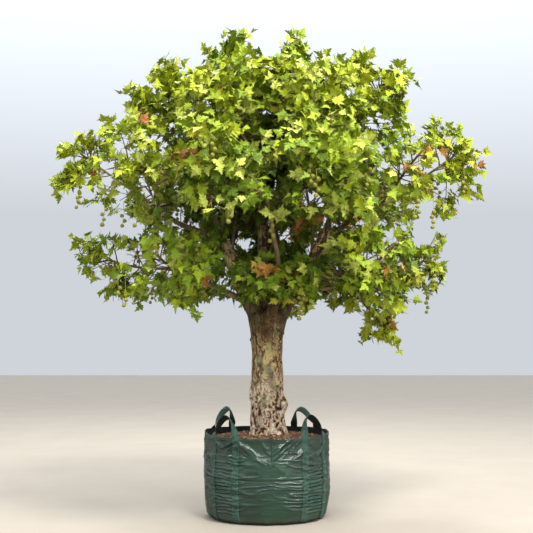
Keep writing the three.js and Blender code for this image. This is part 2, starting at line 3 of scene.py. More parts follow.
import bmesh
import bpy
import numpy as np
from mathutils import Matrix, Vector


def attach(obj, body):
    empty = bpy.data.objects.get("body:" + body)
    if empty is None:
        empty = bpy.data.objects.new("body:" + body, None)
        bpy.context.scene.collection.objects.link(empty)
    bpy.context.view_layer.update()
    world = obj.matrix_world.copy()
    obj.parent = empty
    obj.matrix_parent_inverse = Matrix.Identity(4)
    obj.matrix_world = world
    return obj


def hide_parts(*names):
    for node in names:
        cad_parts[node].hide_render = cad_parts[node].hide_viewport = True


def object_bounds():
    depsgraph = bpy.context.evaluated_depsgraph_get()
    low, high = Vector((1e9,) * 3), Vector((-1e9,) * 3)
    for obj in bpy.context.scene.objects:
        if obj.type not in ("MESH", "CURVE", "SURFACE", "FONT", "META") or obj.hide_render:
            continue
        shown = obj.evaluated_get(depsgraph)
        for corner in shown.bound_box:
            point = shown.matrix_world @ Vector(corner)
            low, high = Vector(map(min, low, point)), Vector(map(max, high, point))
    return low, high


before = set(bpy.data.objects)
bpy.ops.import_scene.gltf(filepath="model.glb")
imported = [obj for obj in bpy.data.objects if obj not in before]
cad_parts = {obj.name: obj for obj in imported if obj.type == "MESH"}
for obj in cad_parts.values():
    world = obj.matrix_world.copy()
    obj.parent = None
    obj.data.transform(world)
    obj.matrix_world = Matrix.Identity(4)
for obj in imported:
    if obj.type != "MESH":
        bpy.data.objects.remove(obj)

cad_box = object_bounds()

# Sizes are in millimetres, as in the part's own source, and are turned to metres in each mesh
MM = 0.001
UP = np.array([0.0, 0.0, 1.0])
GOLDEN_ANGLE = math.pi * (3 - math.sqrt(5))

# Camera: level with the eye in front of the trunk, looking a little up
EYE_AWAY = 8516
EYE_HEIGHT = 1500
EYE_PITCH = 3.976
camera_data = bpy.data.cameras.new("camera")
camera_data.lens = 67.5
camera_data.sensor_width = 36
camera = bpy.data.objects.new("camera", camera_data)
bpy.context.scene.collection.objects.link(camera)
camera.location = (0, -EYE_AWAY * MM, EYE_HEIGHT * MM)
camera.rotation_euler = (math.radians(90 + EYE_PITCH), 0, 0)
bpy.context.scene.camera = camera
bpy.context.scene.view_settings.view_transform = "Standard"


# Vectors
def unit(v):
    v = np.asarray(v, float)
    return v / np.maximum(np.linalg.norm(v, axis=-1, keepdims=True), 1e-9)


def polar(angle, radius, height):
    angle, radius, height = np.broadcast_arrays(angle, radius, height)
    return np.stack([radius * np.cos(angle), radius * np.sin(angle), height], -1).astype(float)


def dot(a, b):
    return (np.asarray(a) * np.asarray(b)).sum(-1, keepdims=True)


def smoothstep(low, high, x):
    t = np.clip((np.asarray(x, float) - low) / (high - low), 0, 1)
    return t * t * (3 - 2 * t)


def chance(*keys):
    """A number from 0 to 1 that depends only on what it is asked for"""
    mixed = 4.137 + sum(key * (12.9898 + 65.2431 * i) for i, key in enumerate(keys))
    wild = math.sin(mixed) * 43758.5453
    return wild - math.floor(wild)


def smooth_through(x, xs, ys):
    """A smooth line through given points"""
    xs, ys = np.array(xs, float), np.array(ys, float)
    slope = np.gradient(ys, xs)
    k = np.clip(np.searchsorted(xs, x) - 1, 0, len(xs) - 2)
    h = xs[k + 1] - xs[k]
    t = np.clip((x - xs[k]) / h, 0, 1)
    a, b = t * t * (3 - 2 * t), t * (1 - t)
    return ys[k] * (1 - a) + ys[k + 1] * a + h * b * (slope[k] * (1 - t) - slope[k + 1] * t)


# Noise
def scatter(cells, seed):
    """A repeatable number from 0 to 1 for each whole-numbered cell"""
    n = cells.astype(np.int64)
    h = n[..., 0] * 73856093 ^ n[..., 1] * 19349663 ^ n[..., 2] * 83492791 ^ (seed * 40503 + 977)
    h = (h ^ (h >> 13)) * 1274126177 & 0x7FFFFFFF
    h = (h ^ (h >> 15)) * 461845907 & 0x7FFFFFFF
    return ((h >> 7) & 0xFFFF) / 65535


def noise(points, size, seed=0):
    """Smooth noise from -1 to 1 with features of a given size"""
    p = points / np.asarray(size, float)
    base = np.floor(p)
    f = p - base
    f = f * f * (3 - 2 * f)
    total = 0
    for corner in np.ndindex(2, 2, 2):
        weight = np.where(np.array(corner) == 1, f, 1 - f).prod(-1)
        total = total + weight * scatter(base + corner, seed)
    return total * 2 - 1


def ridges(points, size, seed=0, sharp=3):
    """Thin ridges from 0 to 1"""
    return (1 - np.abs(noise(points, size, seed))) ** sharp


# Meshes
class Pile:
    """Points and faces of many bits that become one piece"""

    def __init__(self):
        self.points, self.faces, self.count = [], [], 0

    def add(self, points, faces):
        points = np.asarray(points, float).reshape(-1, 3)
        self.points.append(points)
        self.faces += [np.asarray(f) + self.count for f in (faces if isinstance(faces, list) else [faces])]
        self.count += len(points)

    def build(self, name, material, smooth=True):
        return build(name, np.vstack(self.points), self.faces, material, smooth)


def build(name, points, faces, material, smooth=True):
    faces = [np.asarray(f) for f in (faces if isinstance(faces, list) else [faces]) if len(f)]
    sizes = np.concatenate([np.full(len(f), f.shape[1]) for f in faces])
    corners = np.concatenate([f.ravel() for f in faces])
    mesh = bpy.data.meshes.new(name)
    mesh.vertices.add(len(points))
    set_points(mesh, points)
    mesh.loops.add(len(corners))
    mesh.loops.foreach_set("vertex_index", corners.astype(np.int32))
    mesh.polygons.add(len(sizes))
    starts = np.concatenate([[0], np.cumsum(sizes)[:-1]])
    mesh.polygons.foreach_set("loop_start", starts.astype(np.int32))
    mesh.update(calc_edges=True)
    mesh.validate()
    mesh.polygons.foreach_set("use_smooth", np.full(len(mesh.polygons), smooth))
    if material:
        mesh.materials.append(material)
    piece = bpy.data.objects.new(name, mesh)
    bpy.context.scene.collection.objects.link(piece)
    return piece


def set_points(mesh, points):
    mesh.vertices.foreach_set("co", (np.asarray(points) * MM).astype(np.float32).ravel())


def vectors(items, key):
    """The vectors that a mesh keeps for its points"""
    values = np.zeros(len(items) * 3, np.float32)
    items.foreach_get(key, values)
    return values.reshape(-1, 3).astype(float)


def fused(piece, cell):
    """The piece's mesh with its overlapping parts fused into one even skin"""
    modifier = piece.modifiers.new("fuse", "REMESH")
    modifier.mode = "VOXEL"
    modifier.voxel_size = cell
    modifier.use_smooth_shade = True
    graph = bpy.context.evaluated_depsgraph_get()
    mesh = bpy.data.meshes.new_from_object(piece.evaluated_get(graph))
    piece.modifiers.clear()
    piece.data = mesh
    return mesh


def turns(columns):
    """Equal steps once round, in radians"""
    return 2 * np.pi * np.arange(columns) / columns


def grid_faces(rows, columns):
    """Quads of a grid of points that is joined round"""
    r, c = np.meshgrid(np.arange(rows - 1), np.arange(columns), indexing="ij")
    a = (r * columns + c).ravel()
    b = (r * columns + (c + 1) % columns).ravel()
    return np.stack([a, b, b + columns, a + columns], -1)


def end_caps(rows, columns):
    """The first and last row of such a grid, each as one face"""
    ring = np.arange(columns)
    return np.stack([ring[::-1], ring + (rows - 1) * columns])


def with_fans(rows, low, high):
    """Rows of points, closed by a fan of faces at each end: points and faces"""
    count, columns = rows.shape[:2]
    ring = np.arange(columns)
    after = np.roll(ring, -1)
    middle = np.full(columns, count * columns)
    last = (count - 1) * columns
    under = np.stack([after, ring, middle], -1)
    lid = np.stack([ring + last, after + last, middle + 1], -1)
    return np.vstack([rows.reshape(-1, 3), [low, high]]), [grid_faces(count, columns), under, lid]


def tubes(lines, radii, sides, bend=None):
    """Round closed tubes along many lines of equal count: points and faces"""
    lines = np.asarray(lines, float)
    count, rings, _ = lines.shape
    ahead = unit(np.gradient(lines, axis=1))
    side = np.cross(UP, lines[:, -1] - lines[:, 0])
    side = np.where(np.linalg.norm(side, axis=1, keepdims=True) < 1e-3, [1.0, 0, 0], side)
    if bend is not None:
        side = bend
    side = np.repeat(unit(side)[:, None], rings, 1)
    side = unit(side - dot(side, ahead) * ahead)
    other = np.cross(ahead, side)
    turn = turns(sides)
    ring = side[:, :, None] * np.cos(turn)[:, None] + other[:, :, None] * np.sin(turn)[:, None]
    points = lines[:, :, None] + np.asarray(radii)[:, :, None, None] * ring
    offset = (np.arange(count) * rings * sides)[:, None, None]
    walls = (grid_faces(rings, sides) + offset).reshape(-1, 4)
    caps = (end_caps(rings, sides) + offset).reshape(-1, sides)
    return points.reshape(-1, 3), [walls, caps]


class Curve:
    def __init__(self, *points):
        self.p = [np.asarray(p, float) for p in points]

    def at(self, t):
        t = np.asarray(t, float)[..., None]
        s = 1 - t
        a, b, c, d = self.p
        return s**3 * a + 3 * s * s * t * b + 3 * s * t * t * c + t**3 * d

    def tangent(self, t):
        t = np.asarray(t, float)[..., None]
        s = 1 - t
        a, b, c, d = self.p
        return unit(3 * s * s * (b - a) + 6 * s * t * (c - b) + 3 * t * t * (d - c))


# Materials
def linear(red, green, blue):
    """A colour from the usual 0 to 255 scale"""
    x = np.array([red, green, blue]) / 255
    x = np.where(x <= 0.04045, x / 12.92, ((x + 0.055) / 1.055) ** 2.4)
    return (*x.tolist(), 1.0)


class Paint:
    """A material whose nodes are added one call at a time"""

    def __init__(self, name, roughness=0.6, specular=0.4):
        self.material = bpy.data.materials.new(name)
        self.material.use_nodes = True
        self.tree = self.material.node_tree
        self.shader = self.tree.nodes["Principled BSDF"]
        self.set("Roughness", roughness)
        self.set("Specular IOR Level", specular)
        self.place = self.node("TexCoord").outputs["Object"]

    def put(self, socket, value):
        """Gives a socket a value, or links another node's output to it"""
        if isinstance(value, bpy.types.NodeSocket):
            self.tree.links.new(value, socket)
        else:
            socket.default_value = value

    def set(self, name, value):
        self.put(self.shader.inputs[name], value)

    def node(self, kind, inputs=None, **settings):
        made = self.tree.nodes.new("ShaderNode" + kind)
        for key, value in settings.items():
            setattr(made, key, value)
        for key, value in (inputs or {}).items():
            self.put(made.inputs[key], value)
        return made

    def attribute(self, name):
        return self.node("Attribute", attribute_name=name).outputs["Fac"]

    def stretched(self, x, y, z):
        return self.node("Mapping", {"Vector": self.place, "Scale": (x, y, z)}).outputs["Vector"]

    def noise(self, scale, detail=3, rough=0.55, at=None):
        inputs = {"Vector": at or self.place, "Scale": scale, "Detail": detail, "Roughness": rough}
        return self.node("TexNoise", inputs).outputs["Fac"]

    def cells(self, scale, feature="F1"):
        made = self.node("TexVoronoi", {"Vector": self.place, "Scale": scale}, feature=feature)
        return made.outputs["Distance"]

    def vector(self, operation, inputs, output=0):
        return self.node("VectorMath", inputs, operation=operation).outputs[output]

    def warped(self, size, amount):
        """The place, moved about by noise"""
        wild = self.node("TexNoise", {"Vector": self.place, "Scale": size, "Detail": 2.0}).outputs["Color"]
        centred = self.vector("SUBTRACT", {0: wild, 1: (0.5, 0.5, 0.5)})
        return self.vector("ADD", {0: self.place, 1: self.vector("SCALE", {0: centred, "Scale": amount})})

    def ramp(self, value, *stops, flat=False):
        """Stops are colours or greys, each with its position"""
        made = self.node("ValToRGB", {"Fac": value})
        made.color_ramp.interpolation = "CONSTANT" if flat else "LINEAR"
        elements = made.color_ramp.elements
        while len(elements) < len(stops):
            elements.new(0.5)
        for element, (position, colour) in zip(elements, stops):
            element.position = position
            element.color = linear(*colour) if isinstance(colour, tuple) else (colour, colour, colour, 1)
        return made.outputs["Color"]

    def mix(self, factor, one, two, blend="MIX"):
        made = self.node("Mix", {0: factor}, data_type="RGBA", blend_type=blend)
        for socket, colour in ((6, one), (7, two)):
            self.put(made.inputs[socket], linear(*colour) if isinstance(colour, tuple) else colour)
        return made.outputs[2]

    def math(self, operation, one, two=0.0):
        return self.node("Math", {0: one, 1: two}, operation=operation).outputs[0]

    def plus(self, one, two):
        return self.math("ADD", one, two)

    def times(self, one, two):
        return self.math("MULTIPLY", one, two)

    def axis(self, name):
        return self.node("SeparateXYZ", {"Vector": self.place}).outputs[name]

    def turn(self):
        """The angle round the upright axis"""
        return self.math("ARCTAN2", self.axis("Y"), self.axis("X"))

    def span(self, value, low, high, to_low=0.0, to_high=1.0):
        inputs = {"Value": value, 1: low, 2: high, 3: to_low, 4: to_high}
        return self.node("MapRange", inputs, interpolation_type="SMOOTHSTEP").outputs["Result"]

    def near(self, spot, inner, outer):
        """1 within inner of a spot, 0 beyond outer, in metres"""
        away = self.vector("DISTANCE", {0: self.place, 1: spot}, "Value")
        return self.span(away, inner, outer, 1.0, 0.0)

    def rough(self, value, low, high):
        self.set("Roughness", self.span(value, 0.2, 0.8, low, high))

    def bump(self, *layers):
        """Layers of (height, distance in metres), each worked in on top of the last"""
        normal = None
        for height, distance in layers:
            made = self.node("Bump", {"Height": height, "Distance": distance, "Strength": 1.0})
            if normal:
                self.put(made.inputs["Normal"], normal)
            normal = made.outputs["Normal"]
        self.set("Normal", normal)


# Steps of the bark's colour: where each starts
UPPER_BARK = (
    (0.0, (222, 208, 152)),
    (0.2, (158, 148, 108)),
    (0.36, (210, 172, 122)),
    (0.5, (102, 70, 42)),
    (0.6, (202, 168, 124)),
    (0.78, (152, 120, 84)),
)
LOWER_BARK = (
    (0.0, (76, 54, 38)),
    (0.26, (128, 96, 70)),
    (0.38, (210, 176, 144)),
    (0.48, (232, 204, 172)),
    (0.6, (188, 156, 126)),
    (0.7, (250, 234, 206)),
)


def bark_paint():
    """Steps of flaking bark: fine and rough low down, wide smooth plates above"""
    paint = Paint("bark", roughness=0.85, specular=0.25)
    flake, patch, streak = (paint.attribute(name) for name in ("flake", "patch", "streak"))
    fine = paint.noise(110.0, 4, 0.65)
    wild = paint.times(paint.plus(paint.noise(48.0, 3, 0.7, paint.warped(40.0, 0.014)), -0.5), 0.5)
    upper = paint.ramp(paint.plus(patch, wild), *UPPER_BARK, flat=True)
    lower = paint.ramp(paint.plus(flake, wild), *LOWER_BARK, flat=True)
    level = paint.plus(paint.axis("Z"), paint.times(paint.plus(paint.noise(7.0), -0.5), 0.6))
    colour = paint.mix(paint.span(level, 1.0, 1.24), lower, upper)
    shade = paint.times(paint.span(streak, 0.4, 0.8), paint.span(level, 0.9, 1.3, 0.35, 0.85))
    colour = paint.mix(shade, colour, (64, 46, 32))
    colour = paint.mix(0.78, colour, paint.ramp(fine, (0.32, 0.15), (0.56, 0.97)), "MULTIPLY")
    # Cream and green patches, and dark pits painted as shade in the trunk's hollows
    for spots, on_bough, core, ragged, tone in BARK_MARKS:
        for *spot, size in (*(on_trunk(*spot) for spot in spots), on_bough):
            here = paint.near(spot, size * core, size)
            if ragged:
                here = paint.times(here, paint.span(wild, *ragged))
            colour = paint.mix(here, colour, tone)
    # Brown round the fork: partly young bark, partly painted shade under the crown. It fades out up the
    # boughs, leaving them lighter as painted light
    fork = paint.times(paint.span(level, 1.28, 1.62, 0.0, 0.8), paint.span(level, 1.8, 2.15, 1.0, 0.0))
    paint.set("Base Color", paint.mix(fork, colour, (68, 50, 28)))
    paint.rough(fine, 0.7, 0.95)
    paint.bump((paint.plus(flake, wild), 0.02), (fine, 0.009), (paint.noise(220.0, 2), 0.001))
    return paint.material


def young_bark_paint(name="young_bark", base=(104, 86, 62), light=(134, 116, 84)):
    paint = Paint(name, roughness=0.8, specular=0.3)
    grain = paint.noise(24.0, 4, 0.6, paint.stretched(1, 1, 0.5))
    colour = paint.mix(paint.span(grain, 0.35, 0.65), base, light)
    spots = paint.span(paint.cells(75.0), 0.0, 0.3, 1.0, 0.0)
    paint.set("Base Color", paint.mix(paint.times(spots, 0.35), colour, (78, 62, 44)))
    paint.rough(grain, 0.65, 0.9)
    paint.bump((grain, 0.003), (paint.noise(120.0, 3), 0.001))
    return paint.material


def leaf_paint(name, colour):
    paint = Paint("leaf_" + name, roughness=0.46, specular=0.21)
    paint.set("Base Color", linear(*colour))
    veins = paint.cells(70.0, "DISTANCE_TO_EDGE")
    paint.bump((paint.span(veins, 0.0, 0.12), 0.0008), (paint.noise(160.0, 3), 0.0006))
    paint.rough(paint.noise(30.0, 2), 0.38, 0.58)
    return paint.material


def fruit_paint():
    paint = Paint("fruit", roughness=0.75, specular=0.3)
    spots = paint.cells(420.0)
    paint.set("Base Color", paint.mix(paint.span(spots, 0.1, 0.6), (184, 180, 84), (112, 114, 38)))
    paint.bump((paint.span(spots, 0.0, 0.6, 1.0, 0.0), 0.002))
    return paint.material


def weave(paint, pitch):
    """Height of a plain weave over the angle round the bag and the height. The pitch is in metres"""
    scale = 2 * math.pi / pitch
    round_bag = paint.times(paint.turn(), BAG_BELLY * MM * scale)
    up = paint.times(paint.axis("Z"), scale)
    return paint.times(paint.math("SINE", round_bag), paint.math("SINE", up))


def bag_paint():
    paint = Paint("woven_bag", roughness=0.3)
    facing = paint.node("LayerWeight", {"Blend": 0.5}).outputs["Facing"]
    paint.set("Specular IOR Level", paint.span(facing, 0.25, 0.8, 0.68, 0.03))
    threads = weave(paint, 0.006)
    colour = paint.mix(paint.span(paint.noise(3.2, 3, 0.6), 0.35, 0.65), (3, 36, 22), (9, 50, 32))
    worn = paint.span(paint.noise(16.0, 4, 0.7, paint.stretched(1, 1, 3.0)), 0.58, 0.74)
    colour = paint.mix(paint.times(worn, 0.35), colour, (40, 76, 60))
    colour = paint.mix(0.16, colour, paint.ramp(threads, (0.3, 0.45), (0.8, 1.0)), "MULTIPLY")
    dust = paint.span(paint.axis("Z"), 0.0, 0.09, 0.25, 0.0)
    colour = paint.mix(dust, colour, (84, 88, 70))
    seam = paint.math("COSINE", paint.times(paint.plus(paint.turn(), -BAG_TURN), 4.0))
    seam = paint.times(paint.span(seam, 0.9985, 0.9997), paint.span(paint.axis("Z"), 0.465, 0.485))
    paint.set("Base Color", paint.mix(seam, colour, (6, 20, 14)))
    paint.rough(paint.noise(12.0, 3), 0.1, 0.26)
    crumple = paint.noise(14.0, 4, 0.6, paint.stretched(1, 1, 2.6))
    paint.bump((crumple, 0.006), (threads, 0.0003))
    return paint.material


def plain_cloth_paint(name, dark, light, roughness, rib):
    paint = Paint(name, roughness=roughness, specular=0.35)
    grain = paint.noise(46.0, 3, 0.6)
    ribs = weave(paint, rib)
    colour = paint.mix(paint.span(grain, 0.3, 0.7), dark, light)
    colour = paint.mix(0.25, colour, paint.ramp(ribs, (0.2, 0.4), (0.8, 1.0)), "MULTIPLY")
    paint.set("Base Color", colour)
    paint.rough(grain, roughness - 0.1, roughness + 0.1)
    paint.bump((ribs, 0.0008), (grain, 0.001))
    return paint.material


def mulch_paint(name, dark, light):
    paint = Paint(name, roughness=0.92, specular=0.2)
    grain = paint.noise(60.0, 4, 0.7)
    colour = paint.mix(paint.span(grain, 0.3, 0.7), dark, light)
    damp = paint.span(paint.noise(11.0, 3), 0.4, 0.7, 0.0, 0.5)
    paint.set("Base Color", paint.mix(damp, colour, (84, 64, 50)))
    paint.rough(grain, 0.8, 1.0)
    paint.bump((grain, 0.003))
    return paint.material


# Planter bag
BAG_HEIGHT = 684
BAG_BELLY = 526
BAG_WALL = 6
BAG_SQUARENESS = 2.2
BAG_TURN = math.radians(4)
BAG_RISE = [0, 0.04, 0.1, 0.22, 0.42, 0.65, 0.84, 1]
BAG_WIDE = [0.87, 0.935, 0.965, 0.985, 1, 1, 0.99, 0.985]
SEAMS = [BAG_TURN + k * math.pi / 2 for k in range(4)]
SEAM_FOOT = 470
HEM = 652
LONG_CREASE = 371
WEB_HALF = 31
LEG_ANGLE = math.radians(13)
# How high each loop stands, and how far it flops in towards the trunk
LOOPS = {
    "back_right": (172, 92), "back_left": (174, 96),
    "front_left": (160, 46), "front_right": (162, 84),
}
LOOP_WIDENS = 58
CORNERS = {name: math.radians(45) + BAG_TURN + k * math.pi / 2 for k, name in enumerate(LOOPS)}
LEGS = [corner + side * LEG_ANGLE for corner in CORNERS.values() for side in (-1, 1)]


def apart(angle, others):
    """The smallest turn between an angle and any of the others, in radians"""
    turn = np.asarray(angle)[..., None] - np.asarray(others)
    return np.abs(np.arctan2(np.sin(turn), np.cos(turn))).min(-1)


def bag_reach(angle, height):
    """How far the plain wall lies from the middle"""
    t = angle - BAG_TURN
    power = BAG_SQUARENESS
    plan = (np.abs(np.cos(t)) ** power + np.abs(np.sin(t)) ** power) ** (-1 / power)
    return BAG_BELLY * smooth_through(np.clip(height / BAG_HEIGHT, 0, 1), BAG_RISE, BAG_WIDE) * plan


def hill(x, wide):
    """1 where x is 0, falling smoothly to 0 either side of it"""
    return np.exp(-((x / wide) ** 2))


def lifted(points, up, aside=0):
    return points + np.stack([aside + 0 * up, 0 * up, up], -1)


def bag_folds(angle, height):
    """Sags, swags and creases that move the wall out or in"""
    at = polar(angle, BAG_BELLY, height)
    leg = apart(angle, LEGS) * BAG_BELLY
    corner = apart(angle, list(CORNERS.values())) * BAG_BELLY
    within = smoothstep(125, 100, corner)
    seam = apart(angle, SEAMS) * BAG_BELLY
    out = 6 * noise(at, (230, 230, 260), 3) + 3 * noise(at, (90, 90, 120), 4)
    # Soft swags that hang from the straps under the rim, crumpled nearer to it
    top = smoothstep(440, 600, height) * (1 - 0.65 * smoothstep(630, 676, height))
    lean = lifted(at, 0.5 * leg + 30 * noise(at, 110, 5))
    front = 0.55 + 0.45 * np.abs(np.sin(angle))
    out += top * front * 25 * (ridges(lean, (170, 170, 58), 6, 3) - 0.42)
    out += top * front**2 * 11 * (ridges(lifted(at, 0.8 * leg, 500), (64, 64, 40), 7, 4) - 0.33)
    # Level creases, strongest near the straps
    pull = hill(leg, 170) * (1 - 0.3 * top)
    middle = smoothstep(70, 150, height) * smoothstep(610, 540, height)
    wave = lifted(at, 7 * noise(at, (60, 60, 400), 8) - 0.06 * leg)
    out += 11 * (0.22 + pull) * middle * (ridges(wave, (120, 120, 26), 9, 3) - 0.4)
    out += 2.5 * (0.25 + pull) * middle * (ridges(wave, (70, 70, 13), 10, 3) - 0.35)
    ripple = height / 27 * 2 * np.pi + 2.2 * noise(at, 70, 11)
    out += 3.0 * within * smoothstep(30, 90, height) * smoothstep(520, 420, height) * np.sin(ripple)
    # One long crease round the bag
    crease = height - LONG_CREASE - 6 * noise(at, (160, 160, 900), 12)
    out += (0.25 + 0.9 * hill(leg, 120)) * (7.5 * hill(crease, 7) - 5.5 * hill(crease + 15, 9))
    # Straps hold the wall in
    out -= 6 * hill(leg, 46) * smoothstep(0, 60, height)
    # Seam down the middle of each side, and the folded hem
    out -= smoothstep(SEAM_FOOT, SEAM_FOOT + 20, height) * (5 * hill(seam, 7) - 3 * hill(seam - 16, 8))
    out -= smoothstep(SEAM_FOOT, SEAM_FOOT + 90, height) * 6 * hill(seam, 30)
    hem = height - HEM - 4 * noise(at, (70, 70, 999), 13)
    out += 2 * smoothstep(-3, 3, hem) - 1.6 * hill(hem, 4)
    # Tucks where the wall meets the base
    out += smoothstep(80, 15, height) * 9 * (ridges(at, (36, 36, 120), 14, 2) - 0.45)
    return out


def bag_wall(angle, height, away=0.0):
    """Points on the wall: the rim stands higher at the sides and the back, and waves a little"""
    radius = bag_reach(angle, height) + bag_folds(angle, height) + away
    points = polar(angle, radius, height)
    rise = 20 * smoothstep(-0.95, 0.0, np.sin(angle)) - 5 * smoothstep(0.3, 1, np.sin(angle))
    wave = 5 * noise(polar(angle, 520, 0 * height), (110, 110, 99), 21)
    points[..., 2] += smoothstep(400, BAG_HEIGHT, height) * (rise + wave)
    return points


def second_paint(piece, chosen, paint):
    """Another material for the chosen faces"""
    piece.data.materials.append(paint)
    piece.data.polygons.foreach_set("material_index", chosen.astype(np.int32))


def make_bag():
    columns = 520
    angles = turns(columns)
    heights = np.concatenate([np.linspace(0, 40, 10), np.linspace(40, BAG_HEIGHT, 162)[1:]])
    outer = bag_wall(*np.meshgrid(angles, heights))
    radial = polar(angles, 1, 0)
    lip = outer[-1] - radial * BAG_WALL / 2 + UP * 2
    inner = [outer[-1 - k] - radial * (BAG_WALL + 0.2 * k) for k in range(0, 28, 3)]
    rows = np.concatenate([outer, lip[None], np.array(inner)])
    points, faces = with_fans(rows, (0, 0, 0), (0, 0, rows[-1, :, 2].mean()))
    bag = build("planter_bag_cloth", points, faces, bag_paint())
    inside = np.zeros(len(bag.data.polygons), bool)
    inside[len(heights) * columns : len(faces[0])] = True
    inside[len(faces[0]) + columns :] = True
    second_paint(bag, inside, plain_cloth_paint("bag_inside", (10, 18, 14), (18, 30, 24), 0.6, 0.006))
    return bag


# Straps
BOX_FOOT, BOX_TOP = 470, 530


def stitches(spots, along, out, length):
    """A small arched stitch at each spot"""
    along = np.broadcast_to(unit(along), spots.shape)
    out = np.broadcast_to(unit(out), spots.shape)
    steps = ((-0.5, -0.6), (-0.25, 0.4), (0.25, 0.4), (0.5, -0.6))
    lines = np.stack([spots + along * length * s + out * d for s, d in steps], 1)
    return tubes(lines, np.full(lines.shape[:2], 1.0), 4, np.cross(along, out))


def sew_strap(corner, seams):
    """Stitches along both edges of each leg, and a stitched box near its top"""
    for side in (-1, 1):
        angle = corner + side * LEG_ANGLE
        facing = polar(angle, 1, 0)
        runs = [(u, 24, 660, 9.5) for u in (-26, 26)]
        runs += [(u, BOX_FOOT, BOX_TOP, 7) for u in (-20, 20)]
        for u, low, high, pitch in runs:
            z = np.arange(low, high, pitch)
            spots = bag_wall(angle + math.asin(u / BAG_BELLY) + 0 * z, z, 3.8)
            seams.add(*stitches(spots, UP, facing, 5.5))
        for level in (BOX_FOOT, (BOX_FOOT + BOX_TOP) / 2, BOX_TOP, 655):
            u = np.arange(-20, 21, 7.5)
            spots = bag_wall(angle + np.arcsin(u / BAG_BELLY), level + 0 * u, 3.8)
            seams.add(*stitches(spots, np.cross(UP, facing), facing, 5))


def make_straps():
    """Webbing up the wall, turned over at the rim into a loop, and down the wall again"""
    outside, seams = Pile(), Pile()
    hidden = []
    across = np.linspace(-1, 1, 9)
    edge = 1 - np.abs(across) ** 6
    heights = np.linspace(14, BAG_HEIGHT - 2, 110)
    for name, corner in CORNERS.items():
        outward, legs, feet = polar(corner, 1, 0), [], []
        along = np.cross(UP, outward)
        for angle in (corner - LEG_ANGLE, corner + LEG_ANGLE):
            at = np.meshgrid(angle + np.arcsin(across * WEB_HALF / BAG_BELLY), heights)
            legs.append((bag_wall(*at, 0.4), bag_wall(*at, 1.6 + 2.2 * edge)))
            feet.append(bag_wall(np.array(angle), np.array(BAG_HEIGHT), 1.5))
        start, end = feet
        rise, flop = LOOPS[name]
        lift = UP * rise * 1.3 - outward * flop
        curve = Curve(start, start + lift + along * LOOP_WIDENS, end + lift - along * LOOP_WIDENS, end)
        shares = np.linspace(0, 1, 61)[1:-1]
        tangents = curve.tangent(shares)
        # Most of the half turn is near the rim, and the crown lies tilted inwards
        turned = (np.pi * (0.5 + 0.5 * (2 * shares - 1) ** 5))[:, None]
        wide = along * np.cos(turned) + (outward * 0.7 + UP * 0.7) * np.sin(turned)
        wide = unit(wide - dot(wide, tangents) * tangents)
        thick = np.cross(wide, tangents)
        half = WEB_HALF * (1 - 0.1 * np.sin(np.pi * shares) ** 0.5)
        arch = np.sin(np.pi * shares)[:, None]
        centre = curve.at(shares) + thick * (4 * np.sin(shares * 9 + corner)[:, None] * arch)
        cup = 5 * arch[..., None] * (across**2)[None, :, None]
        flat = centre[:, None] + wide[:, None] * (half[:, None] * across)[..., None] - thick[:, None] * cup
        skin = thick[:, None] * (1.3 * (0.3 + 0.7 * edge))[None, :, None]
        # The second leg comes down with left and right exchanged
        (up_under, up_over), (down_under, down_over) = legs
        under = np.concatenate([up_under, flat - thick[:, None] * 1.3, down_under[::-1, ::-1]])
        over = np.concatenate([up_over, flat + skin, down_over[::-1, ::-1]])
        ring = np.concatenate([under, over[:, ::-1]], 1)
        rows, columns = ring.shape[:2]
        faces = grid_faces(rows, columns)
        column, row = faces[:, 0] % columns, faces[:, 0] // columns
        # The free loop's inner faces are painted dark: partly the webbing's own dark face, partly painted
        # shade
        free = (row >= len(heights) - 2) & (row < len(heights) + len(shares) + 1)
        hidden.append(np.concatenate([free & (column < len(across) - 1), [False, False]]))
        outside.add(ring, [faces, end_caps(rows, columns)])
        sew_strap(corner, seams)
    # Two rows of stitches down the seam in the middle of each side
    for angle in SEAMS:
        z = np.arange(486, 650, 10.0)
        for u in (-9, 9):
            spots = bag_wall(angle + u / BAG_BELLY + 0 * z, z, 0.6)
            seams.add(*stitches(spots, UP, polar(angle, 1, 0), 6))
    webbing = plain_cloth_paint("webbing", (36, 62, 52), (60, 90, 77), 0.45, 0.0045)
    # Dark paint for the loops' inner faces: partly the webbing's own dark face, partly painted shade
    inside = plain_cloth_paint("webbing_inside_and_shade", (10, 20, 16), (18, 32, 26), 0.6, 0.0045)
    thread = plain_cloth_paint("thread", (76, 116, 98), (104, 140, 122), 0.6, 0.002)
    straps = outside.build("lifting_straps", webbing)
    second_paint(straps, np.concatenate(hidden), inside)
    return straps, seams.build("strap_stitches", thread)


# Mulch
SOIL_FOOT, SOIL_RIM, SOIL_MOUND = 600, 640, 28
# How many chips of each kind, and their dark and light colours
CHIPS = {
    "red": (900, (104, 66, 48), (150, 104, 80)),
    "brown": (900, (78, 58, 44), (122, 96, 76)),
    "tan": (400, (140, 114, 90), (182, 156, 128)),
}


def mulch_height(points):
    mound = SOIL_MOUND * smoothstep(480, 210, np.hypot(points[:, 0], points[:, 1]))
    flat = points * [1, 1, 0]
    return SOIL_RIM + mound + 6 * noise(flat, 70, 31) + 5 * noise(flat, 24, 32)


